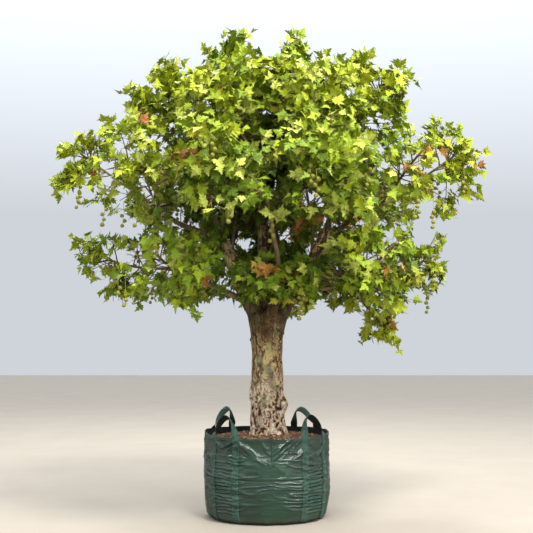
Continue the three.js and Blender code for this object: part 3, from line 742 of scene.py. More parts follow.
def make_mulch():
    columns, rings = 150, 44
    angles = turns(columns)
    walls = bag_wall(*np.meshgrid(angles, np.linspace(SOIL_FOOT, SOIL_FOOT + 60, 5)))
    edge = np.linalg.norm(walls[..., :2], axis=-1).min(0) - BAG_WALL - 5
    top = np.concatenate([polar(angles, edge * share, 0) for share in np.linspace(1, 0.2, rings)])
    top[:, 2] = mulch_height(top)
    rows = np.concatenate([polar(angles, edge * 0.97, SOIL_FOOT), top]).reshape(rings + 1, columns, 3)
    points, faces = with_fans(rows, (0, 0, SOIL_FOOT), (0, 0, SOIL_RIM + SOIL_MOUND))
    made = [build("soil", points, faces, mulch_paint("soil", (62, 46, 36), (104, 80, 62)))]
    rng = np.random.default_rng(5)
    signs = np.array([[x, y, z] for z in (-1, 1) for y in (-1, 1) for x in (-1, 1)], float)
    sides = np.array([[0, 2, 3, 1], [4, 5, 7, 6], [0, 1, 5, 4], [2, 6, 7, 3], [0, 4, 6, 2], [1, 3, 7, 5]])
    for kind, (count, dark, light) in CHIPS.items():
        spots = polar(rng.uniform(0, 2 * np.pi, count), np.sqrt(rng.uniform(0.07, 1, count)) * 476, 0)
        spots[:, 2] = mulch_height(spots) + rng.uniform(-1, 7, count)
        length = rng.uniform(9, 26, count)
        ahead = unit(polar(rng.uniform(0, 2 * np.pi, count), 1, rng.uniform(-0.45, 0.45, count)))
        side = unit(np.cross(UP + rng.normal(0, 0.4, (count, 3)), ahead))
        size = np.stack([length, length * rng.uniform(0.3, 0.6, count), rng.uniform(2, 5, count)], -1)
        shape = signs * (1 + rng.uniform(-0.4, 0.25, (count, 8, 3))) * size[:, None]
        axes = np.stack([ahead, side, np.cross(ahead, side)], 1)
        chips = spots[:, None] + np.einsum("nci,nij->ncj", shape, axes)
        faces = (sides + (np.arange(count) * 8)[:, None, None]).reshape(-1, 4)
        paint = mulch_paint("chips_" + kind, dark, light)
        made.append(build("bark_chips_" + kind, chips.reshape(-1, 3), faces, paint, False))
    return made


# Trunk
TRUNK_FOOT = 668
FORK = 1450
# Height, radius and how far the middle stands to the right
TRUNK_UP, TRUNK_WIDE, TRUNK_LEAN = np.array([
    (600, 162, 14), (668.3, 150, 14), (700, 147, 11), (760, 143, 6), (860, 138, 2),
    (930, 137, 1), (1000, 136, 1), (1120, 134, 3), (1260, 131, 4), (1400, 133, 2),
    (1530, 144, 2), (1620, 165, 6), (1665, 168, 10), (1700, 140, 12), (1725, 70, 12),
]).T
# Each mark: degrees round the trunk, height, depth, degrees wide, half its height
BURLS = [(-17, 926, 42, 30, 60), (-100, 846, 12, 30, 30), (170, 1010, 11, 26, 60), (-35, 1030, 9, 30, 60)]
HOLLOWS = [
    (-36, 893, 30, 9, 15), (-52, 898, 9, 10, 9), (-84, 826, 12, 15, 7), (-115, 838, 7, 12, 6),
    (-62, 790, 7, 7, 6),
]
KNOBS = [
    (8, 1522, 18, 7, 16), (-172, 1466, 15, 6, 14), (-168, 1052, 11, 9, 20), (-176, 1110, 9, 8, 16),
    (-176, 985, 10, 10, 22), (-20, 1190, 7, 9, 20), (-35, 1500, 10, 8, 14), (-120, 1545, 12, 9, 22),
]
# Cream and green patches, and dark pits that are painted shade in the trunk's hollows. For each kind: its
# places as degrees round the trunk, height and size, one more on the left bough in metres, the share that is
# solid, its ragged edge and its colour
BARK_MARKS = (
    (
        ((-77, 1345, 58), (-94, 1284, 32), (-66, 1250, 36), (-84, 1430, 28), (-95, 1165, 30),
         (-50, 1110, 26)),
        (-0.33, -0.08, 2.27, 0.045), 0.6, (-0.06, 0.0), (206, 186, 128),
    ),
    (
        ((-92, 990, 80), (-84, 1215, 62), (-104, 930, 55), (-70, 1100, 50), (-120, 1300, 50),
         (-60, 1400, 40)),
        (-0.285, -0.08, 2.29, 0.09), 0.4, (-0.04, 0.04, 0.2, 0.8), (160, 154, 122),
    ),
    # Dark pits: painted shade in the trunk's hollows
    (
        ((-34, 893, 28), (-46, 890, 16), (-78, 827, 14), (-84, 825, 16), (-90, 826, 13), (-62, 790, 12),
         (-128, 950, 14)),
        (-0.205, -0.1, 2.1, 0.028), 0.5, None, (34, 24, 16),
    ),
)

# Each bough: what it leaves and where along it, then its tip as degrees round, reach and height, and
# its radius at root and tip
BOUGHS = {
    "leader": ("trunk", 0, 140, 50, 2720, 80, 40),
    "bough_right": ("trunk", 0, 0, 520, 2400, 78, 42),
    "bough_back": ("trunk", 0, 82, 470, 2350, 70, 38),
    "bough_left": ("trunk", 0, 184, 362, 2290, 84, 52),
    "bough_front": ("trunk", 0, 286, 410, 2010, 62, 32),
    "crest_right": ("leader", 0.95, 40, 250, 3230, 25, 18),
    "crest_left": ("leader", 0.97, 225, 270, 3220, 25, 18),
    "up_right": ("bough_right", 0.97, 8, 640, 3040, 27, 18),
    "up_back": ("bough_back", 0.97, 92, 610, 2900, 27, 18),
    "up_left": ("bough_left", 0.97, 186, 600, 3000, 30, 18),
    "up_front": ("bough_front", 0.95, 265, 640, 2880, 21, 16),
    "out_right": ("bough_right", 0.93, -2, 960, 2600, 27, 18),
    "out_back": ("bough_back", 0.93, 90, 930, 2520, 25, 17),
    "out_left": ("bough_left", 0.93, 182, 930, 2590, 29, 18),
    "out_front": ("up_front", 0.5, 270, 950, 2560, 15, 12),
    "low_right": ("bough_right", 0.42, 14, 700, 1960, 27, 17),
    "low_back": ("bough_back", 0.42, 104, 640, 1960, 25, 16),
    "low_left": ("bough_left", 0.36, 192, 720, 2040, 27, 17),
    "low_front": ("bough_front", 0.6, 296, 500, 1890, 21, 14),
}
# Thin shoots that stand up from the boughs
SHOOTS = {
    "shoot_a": ("leader", 0.3, 0, 95, 2850, 15, 8),
    "shoot_b": ("bough_right", 0.75, 20, 330, 3020, 14, 8),
    "shoot_c": ("bough_left", 0.8, 150, 260, 2950, 14, 8),
}


class Limb:
    def __init__(self, name, parent, share, azimuth, reach, height, root, tip):
        self.name, self.root, self.tip, self.main = name, root, tip, parent == "trunk"
        end = polar(math.radians(azimuth), reach, height)
        start = np.array([2.0, 0, FORK]) if self.main else limbs[parent].curve.at(share)
        along = UP if self.main else limbs[parent].curve.tangent(share)
        span = np.linalg.norm(end - start)
        level = (end - start) * [1, 1, 0]
        if not self.main:
            along = along * 0.4 + unit(end - start) * 0.6
        first = start + along * span / 3 + (level * 0.3 if self.main else 0)
        sag = 0.03 if name.startswith("low") else 0.05
        share = 0.62 if self.main else 0.7
        second = start * (1 - share) + end * share - UP * sag * span
        self.curve = Curve(start, first, second, end)

    def radius(self, t):
        taper = self.root + (self.tip - self.root) * np.asarray(t)
        return taper * (1 + 0.16 * hill(t - 0.95, 0.07)) if self.main else taper


limbs = {}
for name, facts in {**BOUGHS, **SHOOTS}.items():
    limbs[name] = Limb(name, *facts)


def trunk_reach(angle, height):
    """The trunk's radius with its flare, burls, knobs and hollows"""
    out = smooth_through(height, TRUNK_UP, TRUNK_WIDE) * (1 + 0.025 * np.cos(3 * angle + 1))
    rise = np.maximum(height - TRUNK_FOOT, 0) / 70
    out += 20 * np.exp(-rise) * (0.55 + 0.45 * np.cos(5 * angle + 0.6))
    for sign, power, marks in ((1, 1.2, BURLS), (1, 1.2, KNOBS), (-1, 1.0, HOLLOWS)):
        for turn, level, deep, spread, tall in marks:
            away = angle - math.radians(turn)
            away = np.arctan2(np.sin(away), np.cos(away)) / math.radians(spread)
            out += sign * deep * np.exp(-((away**2 + ((height - level) / tall) ** 2) ** power))
    return out


def on_trunk(turn, height, size):
    """A spot on the bark and its size, in metres"""
    angle = math.radians(turn)
    spot = polar(angle, trunk_reach(angle, height), height)
    spot[0] += np.interp(height, TRUNK_UP, TRUNK_LEAN)
    return (*(spot * MM).tolist(), size * MM)


def terrace(value, levels):
    """Values from 0 to 1 turned into steps with steep sides"""
    x = np.clip(value, 0, 0.999) * levels
    return (np.floor(x) + smoothstep(0, 0.25, x - np.floor(x))) / levels


def smoothed(mesh, points, weight, times):
    """Points eased towards the middle of their neighbours, as far as their weight says"""
    edges = np.zeros(len(mesh.edges) * 2, np.int32)
    mesh.edges.foreach_get("vertices", edges)
    a, b = edges.reshape(-1, 2).T
    count = len(points)
    share = np.bincount(edges, minlength=count)[:, None]
    for _ in range(times):
        sums = [np.bincount(a, points[b, k], count) + np.bincount(b, points[a, k], count) for k in range(3)]
        points = points + weight[:, None] * (np.stack(sums, -1) / share - points)
    return points


# The skin's cells, and the depth of its low flakes and high patches
BARK_CELL = 6.6
FLAKE_DEPTH, PATCH_DEPTH = 8, 6


def make_wood():
    """Trunk and main boughs as one skin with the bark's relief"""
    pile = Pile()
    columns = 140
    heights = np.concatenate([np.arange(600, 1690, 6.5), np.linspace(1692, 1725, 8)])
    angle, height = np.meshgrid(turns(columns), heights)
    body = polar(angle, trunk_reach(angle, height), height)
    body[..., 0] += smooth_through(height, TRUNK_UP, TRUNK_LEAN)
    pile.add(body, [grid_faces(len(heights), columns), end_caps(len(heights), columns)])
    for limb in limbs.values():
        if not limb.main:
            continue
        t = np.linspace(0.02, 1, 46)
        line = limb.curve.at(t)
        radii = limb.radius(t) * (1 + 0.22 * np.exp(-t / 0.16)) * (1 + 0.05 * noise(line, 120, 39))
        dome = np.linspace(0, np.pi / 2, 6)[1:, None]
        line = np.vstack([line, line[-1] + limb.curve.tangent(1.0) * limb.tip * 0.55 * np.sin(dome)])
        radii = np.concatenate([radii, radii[-1] * np.maximum(np.cos(dome[:, 0]), 0.05)])
        pile.add(*tubes(line[None], radii[None], 32))
    wood = pile.build("trunk_and_boughs", None)
    mesh = fused(wood, BARK_CELL * MM)
    mesh.materials.clear()
    mesh.materials.append(bark_paint())
    points = vectors(mesh.vertices, "co") / MM
    z = points[:, 2]
    fork = smoothstep(1480, 1580, z) * smoothstep(2000, 1820, z)
    points = smoothed(mesh, points, 0.1 + 0.6 * fork, 40)
    set_points(mesh, points)
    mesh.update()
    normals = vectors(mesh.vertex_normals, "vector")
    wander = points + 12 * np.stack([noise(points, 38, k) for k in (42, 43, 44)], -1)
    flake = 0.5 + 0.42 * noise(wander, (21, 21, 36), 50) + 0.42 * noise(wander, (12, 12, 18), 51)
    patch = 0.5 + 0.55 * noise(wander, (75, 75, 170), 52) + 0.3 * noise(wander, (26, 26, 54), 53)
    lower = smoothstep(1260, 980, z + 110 * noise(points, 150, 41))
    streak = ridges(wander, (34, 34, 240), 48, 4)
    relief = lower * FLAKE_DEPTH * (terrace(flake, 5) - 0.5)
    relief += (1 - 0.75 * lower) * PATCH_DEPTH * (terrace(patch, 5) - 0.5)
    relief += 5 * noise(points, (120, 120, 190), 45) + 3 * noise(points, (44, 44, 70), 46)
    relief -= (1 - lower) * 3.5 * streak
    set_points(mesh, points + normals * relief[:, None])
    # The material reads these numbers at each point
    for name, values in (("flake", flake), ("patch", patch), ("streak", streak)):
        mesh.attributes.new(name, "FLOAT", "POINT").data.foreach_set("value", values.astype(np.float32))
    mesh.update()
    return wood


def make_limbs():
    """The lesser boughs, each swelling into the wood that it leaves"""
    pile = Pile()
    for number, limb in enumerate(limbs.values()):
        if limb.main:
            continue
        t = np.linspace(0, 1, 26)
        line = limb.curve.at(t)
        span = np.linalg.norm(line[-1] - line[0])
        wander = np.stack([noise(line + 700 * number, 190, 70 + k) for k in range(3)], -1)
        line = line + wander * 0.022 * span * np.sin(np.pi * t)[:, None]
        radii = limb.radius(t) * (1 + 0.55 * np.exp(-t * span / 55)) * (1 + 0.07 * noise(line, 60, 74))
        pile.add(*tubes(line[None], radii[None], 12))
    return pile.build("lesser_boughs", young_bark_paint())


# Foliage masses, worked out as in the part's source
CROWN_X = 20
# Each tier: how many masses, their reach and height from the cosine and sine of the angle round the
# trunk, their half sizes outwards, along and up, and the bough that carries each
TIERS = {
    "crest": (
        4, lambda c, s: 290 + 140 * abs(s), lambda c, s: 3705 - 130 * abs(s) - 30 * c, (440, 440, 450),
        "crest_right crest_right crest_left crest_left",
    ),
    "shoulder": (
        6, lambda c, s: 870 + 20 * c, lambda c, s: 3480 + 20 * c - 140 * abs(s), (440, 470, 450),
        "up_right up_back up_back up_left up_front up_front",
    ),
    "spread": (
        10, lambda c, s: 1270 + 210 * c**4, lambda c, s: 2740 + 220 * c**4, (390, 440, 450),
        "out_right out_back out_back out_left out_left out_left out_front out_front out_right out_right",
    ),
    "skirt": (
        8, lambda c, s: 1000 + 250 * c**2, lambda c, s: 2010 + 90 * c**2, (420, 460, 380),
        "low_right low_back low_back low_left low_left low_left none low_front",
    ),
}
# Single masses: degrees round, reach, height, half sizes and bough
SPRAYS = {
    "front_spray": (281, 660, 1880, (350, 420, 250), "low_front"),
    "low_spray": (344, 960, 1640, (300, 330, 230), "low_right"),
}
STEM_ROOT, STEM_TIP = 13, 9
SOURCE_TWIGS = 7
# How many more twigs each mass gets, fewer where more sky shows through
MOST_FILLS = 17
FILLS = {
    "spread_0": 2, "spread_9": 6, "spread_1": 5, "spread_4": 3, "spread_5": 1, "spread_6": 5, "low_spray": 0,
    "skirt_3": 5, "skirt_4": 3, "skirt_5": 8, "skirt_0": 7, "skirt_1": 9, "front_spray": 20,
    "crest_0": 12, "crest_1": 12, "crest_2": 12, "crest_3": 12,
}


class Mass:
    def __init__(self, name, azimuth, reach, height, size, bough, number):
        self.name, self.size, self.number = name, size, number
        self.centre = polar(azimuth, reach, height) + [CROWN_X, 0, 0]
        self.out = polar(azimuth, 1, 0)
        self.aside = np.cross(UP, self.out)
        ahead = limbs[bough].curve.tangent(1.0)
        start = limbs[bough].curve.at(0.985)
        towards = unit(self.centre - start)
        self.axis = unit(self.out * 0.6 + UP * 0.5 + towards * 0.8)
        end = self.centre + self.axis * 0.45 * self.extent(self.axis)
        span = np.linalg.norm(end - start)
        first = start + ahead * span * 0.12 + towards * span * 0.22
        self.stem = Curve(start, first, self.centre - self.axis * 0.25 * span, end)

    def extent(self, way):
        """How far the mass reaches from its middle"""
        o, a, u = self.size
        parts = (way @ self.out / o, way @ self.aside / a, way[2] / u)
        return 1 / math.sqrt(sum(x * x for x in parts))

    def bounded_by(self, others):
        """Planes that keep it to its own space, each nearer to the smaller of two masses"""
        self.planes, self.limits = [], []
        for other in others:
            if other is self:
                continue
            normal = unit(other.centre - self.centre)
            apart_by = np.linalg.norm(other.centre - self.centre)
            mine, theirs = self.extent(normal), other.extent(-normal)
            self.planes.append(normal)
            self.limits.append(apart_by * mine / (mine + theirs) + self.centre @ normal)
        self.planes, self.limits = np.array(self.planes), np.array(self.limits)

    def holds(self, point, spare=0):
        return bool((self.planes @ point < self.limits + spare).all())

    def directions(self, count, back=1.62, shift=0.0):
        """Ways spread evenly round the mass, from its tip back"""
        side = unit(np.cross(self.axis, self.aside))
        other = np.cross(self.axis, side)
        for i in range(count):
            ahead = 1 - back * (i + 0.5) / count
            turn = GOLDEN_ANGLE * (i + self.number + shift)
            wide = math.sqrt(1 - ahead * ahead)
            yield ahead, self.axis * ahead + side * wide * math.cos(turn) + other * wide * math.sin(turn)


places = []
for tier, (count, reach, height, size, names) in TIERS.items():
    for k, bough in enumerate(names.split()):
        a = 2 * math.pi * k / count
        spot = (reach(math.cos(a), math.sin(a)), height(math.cos(a), math.sin(a)))
        if bough != "none":
            places.append((f"{tier}_{k}", a, *spot, size, bough))
for name, (azimuth, *rest) in SPRAYS.items():
    places.append((name, math.radians(azimuth), *rest))
masses = [Mass(*place, number + 1) for number, place in enumerate(places)]
for mass in masses:
    mass.bounded_by(masses)

# The crown as it looks from the front, in millimetres at the trunk's distance: its height, left edge
# and right edge
EDGE_UP, EDGE_LEFT, EDGE_RIGHT = np.array([
    (1420, -140, 1120), (1550, -440, 1190), (1640, -570, 1220), (1720, -1280, 1260), (1890, -1380, 1460),
    (2060, -1490, 1510), (2230, -1600, 1530), (2410, -1640, 1560), (2580, -1660, 1680), (2750, -1760, 1760),
    (2920, -1810, 1830), (3100, -1800, 1890), (3180, -1830, 1700), (3270, -1740, 1660), (3360, -1490, 1660),
    (3450, -1290, 1440), (3540, -1270, 1240), (3620, -1260, 1230), (3800, -1090, 1250), (3880, -1020, 1190),
    (3970, -670, 1000), (4060, -420, 840), (4150, -360, 300), (4240, -300, -170),
]).T
# Its top between the shoots that stand out of it: across, up
TOP_ACROSS, TOP_UP = np.array([
    (-1300, 3350), (-1180, 3480), (-1000, 3690), (-770, 3750), (-600, 3780), (-480, 3830), (-230, 3990),
    (-60, 3870), (60, 3880), (220, 3980), (360, 3810), (550, 3830), (770, 3880), (960, 3740), (1190, 3680),
    (1270, 3330),
]).T
HIGHEST_SHOOT = 4225
# Where single shoots reach out of it: across, up
PEAKS = [
    (-235, 4175), (215, 4110), (770, 3960), (1190, 3800), (-770, 3870), (-990, 3800), (-1190, 3590),
    (-1470, 3300), (1440, 3380), (1820, 3050), (-1760, 3160), (-1770, 2820), (10, 3970), (-480, 3960),
    (540, 3890), (980, 3820), (1620, 3280), (1530, 2500), (-1590, 2300), (-1510, 2110), (1480, 2110),
    (1070, 1540), (-1260, 1800), (1750, 2740), (-1640, 3010), (1640, 2960), (840, 1600),
]
# Where the sky shows through: across from and to, up from and to
OPENINGS = [
    (-240, -150, 2200, 2320), (115, 205, 2310, 2410), (-1400, -1110, 2390, 2500), (1250, 1460, 2260, 2420),
]
# Where the boughs are seen, with no leaf before them
BARE = [(-330, -60, 2160, 2400), (-115, 20, 2220, 2500), (330, 470, 2200, 2460), (-240, 200, 1400, 1770)]
# How open the leaves are: across, up, how far round, the share of small gaps
AIRY = [
    (-1500, 3000, 420, 0.46), (1560, 3050, 420, 0.56), (-1180, 2000, 460, 0.6), (1250, 2150, 420, 0.46),
    (1050, 1600, 300, 0.4), (-1150, 2500, 330, 0.45), (1350, 2500, 330, 0.36), (-150, 2450, 520, 0.24),
    (350, 2700, 500, 0.16), (-900, 3400, 400, 0.16), (900, 3350, 520, 0.24), (-450, 2050, 400, 0.2),
]
# How wide such a gap is
GAP_SIZE = 82
# Leaves that have turned: across, up
TURNED = [
    (-730, 3040), (-590, 2020), (440, 2490), (1230, 2900), (200, 2110), (250, 2050), (-1450, 2940),
    (-1090, 3380), (1490, 3100), (310, 3180), (-890, 2840), (1350, 2730), (-70, 3810), (-1190, 3100),
]


def seen(points):
    """Points as they look from the front"""
    points = np.asarray(points, float)
    share = EYE_AWAY / (points[..., 1] + EYE_AWAY)
    return np.stack([points[..., 0] * share, EYE_HEIGHT + (points[..., 2] - EYE_HEIGHT) * share], -1)


def behind(x, z, depth):
    """The point at a given depth that looks to be at x and z"""
    share = (depth + EYE_AWAY) / EYE_AWAY
    return np.array([x * share, depth, EYE_HEIGHT + (z - EYE_HEIGHT) * share])


def open_there(point, spare=0):
    """True for a point in one of the crown's openings"""
    x, z = seen(point)
    windows = OPENINGS + BARE if point[1] < 0 else OPENINGS
    return any(x0 - spare < x < x1 + spare and z0 - spare < z < z1 + spare for x0, x1, z0, z1 in windows)


def in_gaps(points):
    """Which points lie in the small gaps that let the sky through"""
    looks = seen(points)
    share = 0
    for x, z, wide, part in AIRY:
        share = np.maximum(share, part * np.exp(-((looks - [x, z]) ** 2).sum(-1) / wide**2))
    flat = np.stack([looks[..., 0], 0 * share, looks[..., 1]], -1)
    return noise(flat, GAP_SIZE, 77) > 0.66 - 1.2 * share


def shown(point, spare=0):
    """True for a point inside the crown's outline and out of its openings"""
    x, z = seen(point)
    left, right = (np.interp(z, EDGE_UP, edge) for edge in (EDGE_LEFT, EDGE_RIGHT))
    top = HIGHEST_SHOOT if spare else np.interp(x, TOP_ACROSS, TOP_UP)
    return bool(left - spare < x < right + spare and z < top + spare and not open_there(point, 20))


# Leaves: five-pointed blades on stalks. One half of the outline, and the middle rib, from the stalk up
LEAF_HALF = np.array([
    (0.08, -0.06), (0.29, -0.14), (0.26, 0.01), (0.50, 0.01), (0.41, 0.13), (0.71, 0.36), (0.45, 0.34),
    (0.38, 0.48), (0.15, 0.37), (0.31, 0.62), (0.14, 0.64), (0.13, 0.79), (0.19, 0.16),
])
LEAF_RIB = np.array([(0, 0), (0, 0.25), (0, 0.5), (0, 0.75), (0, 1.02)])
# The notch beside the middle lobe, and the point within the half blade
LEAF_NOTCH, LEAF_MIDDLE = 13, 17
LEAF_FACES = np.array([
    (0, 5, 17), *((k, k + 1, 17) for k in range(5, 13)), (13, 1, 17), (1, 0, 17), (1, 13, 2), (13, 14, 2),
    (14, 15, 2), (15, 3, 2), (15, 16, 3), (16, 4, 3),
])
# How long the ribs are
LEAF_SIZES = (60, 108)
# How far a leaf may reach past the part's box
PROUD = 60
LEAF_SPACING, TWIG_SPACING = 35, 80
# The lowest that an inner shoot may end
INNER_FOOT = 1790
# Leaf colours. Deep, green, fresh and lime are steps of painted shade and painted light on one kind of leaf;
# pale is partly the paler backs of leaves and partly painted sheen; yellow, amber and rust are turned leaves
TINTS = {
    "deep": (73, 93, 13),
    "green": (99, 121, 20),
    "fresh": (121, 139, 24),
    "lime": (139, 150, 28),
    "pale": (155, 164, 68),
    "yellow": (146, 146, 44),
    "amber": (160, 116, 50),
    "rust": (150, 98, 52),
}
TINT_NAMES = list(TINTS)
rng = np.random.default_rng(11)
leaf_rows, twig_lines, twig_radii, stems = [], [], [], []


def tier_height(z):
    """0 at the foot of the crown, 1 near its top"""
    return float(np.clip((z - 1800) / 2300, 0, 1))


def deal_tint(depth, high):
    """A tint for one spray: darker as painted shade inside the crown and low down, lighter as painted light
    at its tips
    """
    x = rng.random()
    # Amber and yellow are turned leaves; pale stands partly for the paler backs of leaves and partly for
    # painted sheen
    for limit, rare in ((0.006, "amber"), (0.032, "yellow"), (0.2, "pale")):
        if x < limit:
            return rare
    light = -0.06 + 0.42 * high + 0.75 * depth + rng.normal(0, 0.2)
    return ("deep", "green", "fresh", "lime")[int(np.clip(light * 4.0, 0, 3.99))]


def tint_at(point):
    """A tint for a place in the crown: turned, shaded in the hollow of its middle, or sunny"""
    x, z = seen(point)
    if point[1] < 150 and any(math.hypot(x - a, z - b) < 42 for a, b in TURNED):
        return "rust" if rng.random() < 0.6 else "amber"
    depth = math.hypot(point[0] - CROWN_X, point[1]) / 1700
    hollow = 0.7 * math.exp(-((x / 750) ** 2 + ((z - 2850) / 420) ** 2))
    sunny = 1.1 if x > 700 and z < 1800 else 0.0
    if abs(x) < 1100:
        sunny += 0.3 * float(np.clip((z - 3300) / 500, 0, 1))
    return deal_tint(depth - hollow + sunny, tier_height(point[2]))


def add_leaf(node, way, outward, high, size, tint):
    """One leaf, whose blade faces out and up, and droops more the lower it is in the crown"""
    petiole = unit(way) * rng.uniform(24, 62)
    base = node + petiole - UP * 5
    normal = unit(outward * rng.uniform(-0.1, 1.0) + UP * rng.uniform(-0.1, 1.0) + rng.normal(0, 0.5, 3))
    tip = unit(petiole) * 0.7 + outward * 0.3 + UP * (-0.8 + 1.3 * high) + rng.normal(0, 0.42, 3)
    along = tip - normal * (tip @ normal)
    if np.linalg.norm(along) < 0.2:
        along = np.cross(normal, rng.normal(0, 1, 3))
    if open_there(base + unit(along) * size * 0.5):
        return
    leaf_rows.append((node, base, unit(along), normal, size, TINT_NAMES.index(tint)))


def bent_line(start, end, rise, count=7):
    t = np.linspace(0, 1, count)
    line = start + (end - start) * t[:, None]
    line[:, 2] += rise * 4 * t * (1 - t)
    return line


def beside(ahead):
    return unit(np.cross(ahead, UP) + 1e-3)


def dress(line, thick, holds, side_twigs=True, first=0.22):
    """Leaves along a twig, and lesser twigs with leaves of their own"""
    twig_lines.append(line)
    twig_radii.append(np.linspace(*thick, 7))
    span = np.linalg.norm(line[-1] - line[0])
    ahead = unit(line[-1] - line[0])
    side = beside(ahead)
    lift = np.cross(side, ahead)
    t = np.linspace(0, 1, len(line))
    tint = tint_at(line[-1])

    def at(share):
        return np.array([np.interp(share, t, line[:, k]) for k in range(3)])

    count = max(2, int(span / LEAF_SPACING))
    for k in range(count + 2):
        share = min(1.0, first + (1 - first) * k / count)
        turn = rng.normal(0, 0.7)
        away = side * (1 if k % 2 else -1) * math.cos(turn) + lift * math.sin(turn)
        node = at(share)
        outward = unit((node - [CROWN_X, 0, 0]) * [1, 1, 0])
        own = tint_at(node) if tint not in ("rust", "amber") and rng.random() < 0.35 else tint
        size = rng.uniform(*LEAF_SIZES) * (0.8 if share > 0.97 else 1)
        way = away * 0.8 + ahead * rng.uniform(0.3, 0.9) + UP * 0.15
        add_leaf(node, way, outward, tier_height(node[2]), size, own)
    if side_twigs:
        places = max(1, int(span / TWIG_SPACING))
        for k in range(places):
            root = at(0.3 + 0.66 * (k + rng.uniform(0.2, 0.8)) / places)
            hand = 1 if k % 2 else -1
            way = unit(ahead * 0.6 + side * hand * rng.uniform(0.5, 0.9) + lift * rng.normal(0.1, 0.4))
            length = rng.uniform(90, 200)
            while length > 50 and not holds(root + way * (length + 50)):
                length *= 0.75
            if length > 55:
                dress(bent_line(root, root + way * length, 0.05 * length), (2.6, 1.4), holds, False, 0.35)


def grow_twig(root, end, thick, holds):
    """A twig that is shortened until it is held, and dressed"""
    for _ in range(7):
        if holds(end) and holds((root + end) / 2):
            break
        end = root + (end - root) * 0.82
    span = np.linalg.norm(end - root)
    if span < 60 or not holds(end):
        return
    line = bent_line(root, end, rng.uniform(-0.02, 0.09) * span)
    line[1:-1] += rng.normal(0, 0.012 * span, (5, 3))
    dress(line, thick, holds)


def grow_mass(mass):
    """The stem, the twigs of the part's source, and more between them"""
    t = np.linspace(0, 1, 16)
    stems.append((mass.stem.at(t), STEM_ROOT + (STEM_TIP - STEM_ROOT) * t))

    def holds(point):
        return mass.holds(point, 40) and shown(point)

    for i, (ahead, way) in enumerate(mass.directions(SOURCE_TWIGS)):
        share = 0.42 + 0.27 * (ahead + 1) + 0.04 * (chance(mass.number, i, 1) - 0.5)
        root = mass.stem.at(min(share, 0.97))
        end = mass.centre + way * (mass.extent(way) - 150)
        grow_twig(root, end, (6.5, 2.6), holds)
    for ahead, way in mass.directions(FILLS.get(mass.name, MOST_FILLS), 1.92, 0.41):
        share = 0.2 + 0.38 * (ahead + 1) + 0.1 * (rng.random() - 0.5)
        root = mass.stem.at(np.clip(share, 0.08, 0.97))
        reach = rng.uniform(0.5, 1.05) + 0.3 * abs(way[2])
        end = mass.centre + way * (mass.extent(way) * reach - 130)
        grow_twig(root, end, (5, 2.4), holds)


def grow_peaks():
    """Single shoots that reach beyond the masses"""
    def away(mass, x, z):
        a, b = seen(mass.centre)
        return math.hypot(a - x, b - z) + 0.25 * abs(mass.centre[1] + 150)

    shoots = [(x + a, z - b) for x, z in PEAKS for a, b in ((0, 0), (-48, 75), (52, 90))]
    for x, z in shoots:
        mass = min(masses, key=lambda mass: away(mass, x, z))
        end = behind(x, z, mass.centre[1])
        root = mass.stem.at(0.9)
        end = root + (end - root) * (1 - 70 / np.linalg.norm(end - root))
        dress(bent_line(root, end, 10), (5.5, 2.2), lambda point: shown(point, 60))


def grow_inner():
    """Leafy shoots along every bough, inside the crown"""
    for number, (name, limb) in enumerate(limbs.items()):
        span = np.linalg.norm(limb.curve.at(1.0) - limb.curve.at(0.0))
        places = max(2, int(span / (60 if name in ("out_left", "out_right") else 95)))
        first, reach = (0.4, 0.58) if limb.main else (0.22, 0.76)
        for k in range(places):
            share = first + reach * (k + 0.5) / places
            ahead = limb.curve.tangent(share)
            side = beside(ahead)
            turn = GOLDEN_ANGLE * (k + 3 * number)
            out = side * math.cos(turn) + np.cross(side, ahead) * math.sin(turn)
            root = limb.curve.at(share)
            end = root + unit(out + ahead * 0.5 + UP * 0.15) * rng.uniform(240, 460)
            if end[2] > INNER_FOOT:
                grow_twig(root, end, (4.5, 2.2), shown)


for mass in masses:
    grow_mass(mass)
grow_peaks()
grow_inner()


# Strings of fruit. Where the lowest ball of each hangs, as it looks from the front, across and up, and
# how many balls it has
FRUIT = [
    (-1630, 2600, 4), (-1430, 2450, 4), (-1210, 2440, 3), (-1000, 2470, 4), (-910, 2390, 3),
    (-1310, 1890, 3), (-1200, 1760, 2), (-580, 2200, 5), (-430, 3050, 4), (50, 2310, 5), (280, 1650, 6),
    (305, 1690, 5), (370, 2820, 4), (440, 2700, 4), (910, 2790, 4), (1300, 2260, 4), (1510, 2430, 4),
    (1700, 2730, 4), (1420, 1890, 4), (-1120, 2420, 3), (-300, 2480, 3),
]
# How far a string hangs
SHORT_STRING, USUAL_STRING, LONG_STRING = 130, 190, 300
BALL_SPACING = 40
hung = []


def hang_fruit():
    """A line for each string, with its number of balls"""
    spots = np.vstack([line[3:] for line in twig_lines])
    looks = seen(spots)
    tops = []
    for x, z, count in FRUIT:
        gap = np.abs(looks[:, 0] - x) * 2 + np.abs(looks[:, 1] - z - 210) + 0.35 * spots[:, 1]
        tops.append((spots[np.argmin(gap)], z, count))
    for mass in masses:
        if mass.name.startswith(("spread", "skirt")) and mass.centre[1] > -300:
            way = list(mass.directions(SOURCE_TWIGS))[4][1]
            near = np.linalg.norm(spots - mass.centre - way * mass.extent(way) * 0.7, axis=1)
            tops.append((spots[np.argmin(near)], None, 4))
    for top, z, count in tops:
        drop = top[2] - behind(0, z, top[1])[2] if z else USUAL_STRING
        drop = float(np.clip(drop, SHORT_STRING, LONG_STRING))
        line = top + np.array([rng.normal(0, 9), -12, -drop]) * np.linspace(0, 1, 6)[:, None]
        line[1:-1, :2] += rng.normal(0, 4, (4, 2))
        hung.append((line, count))


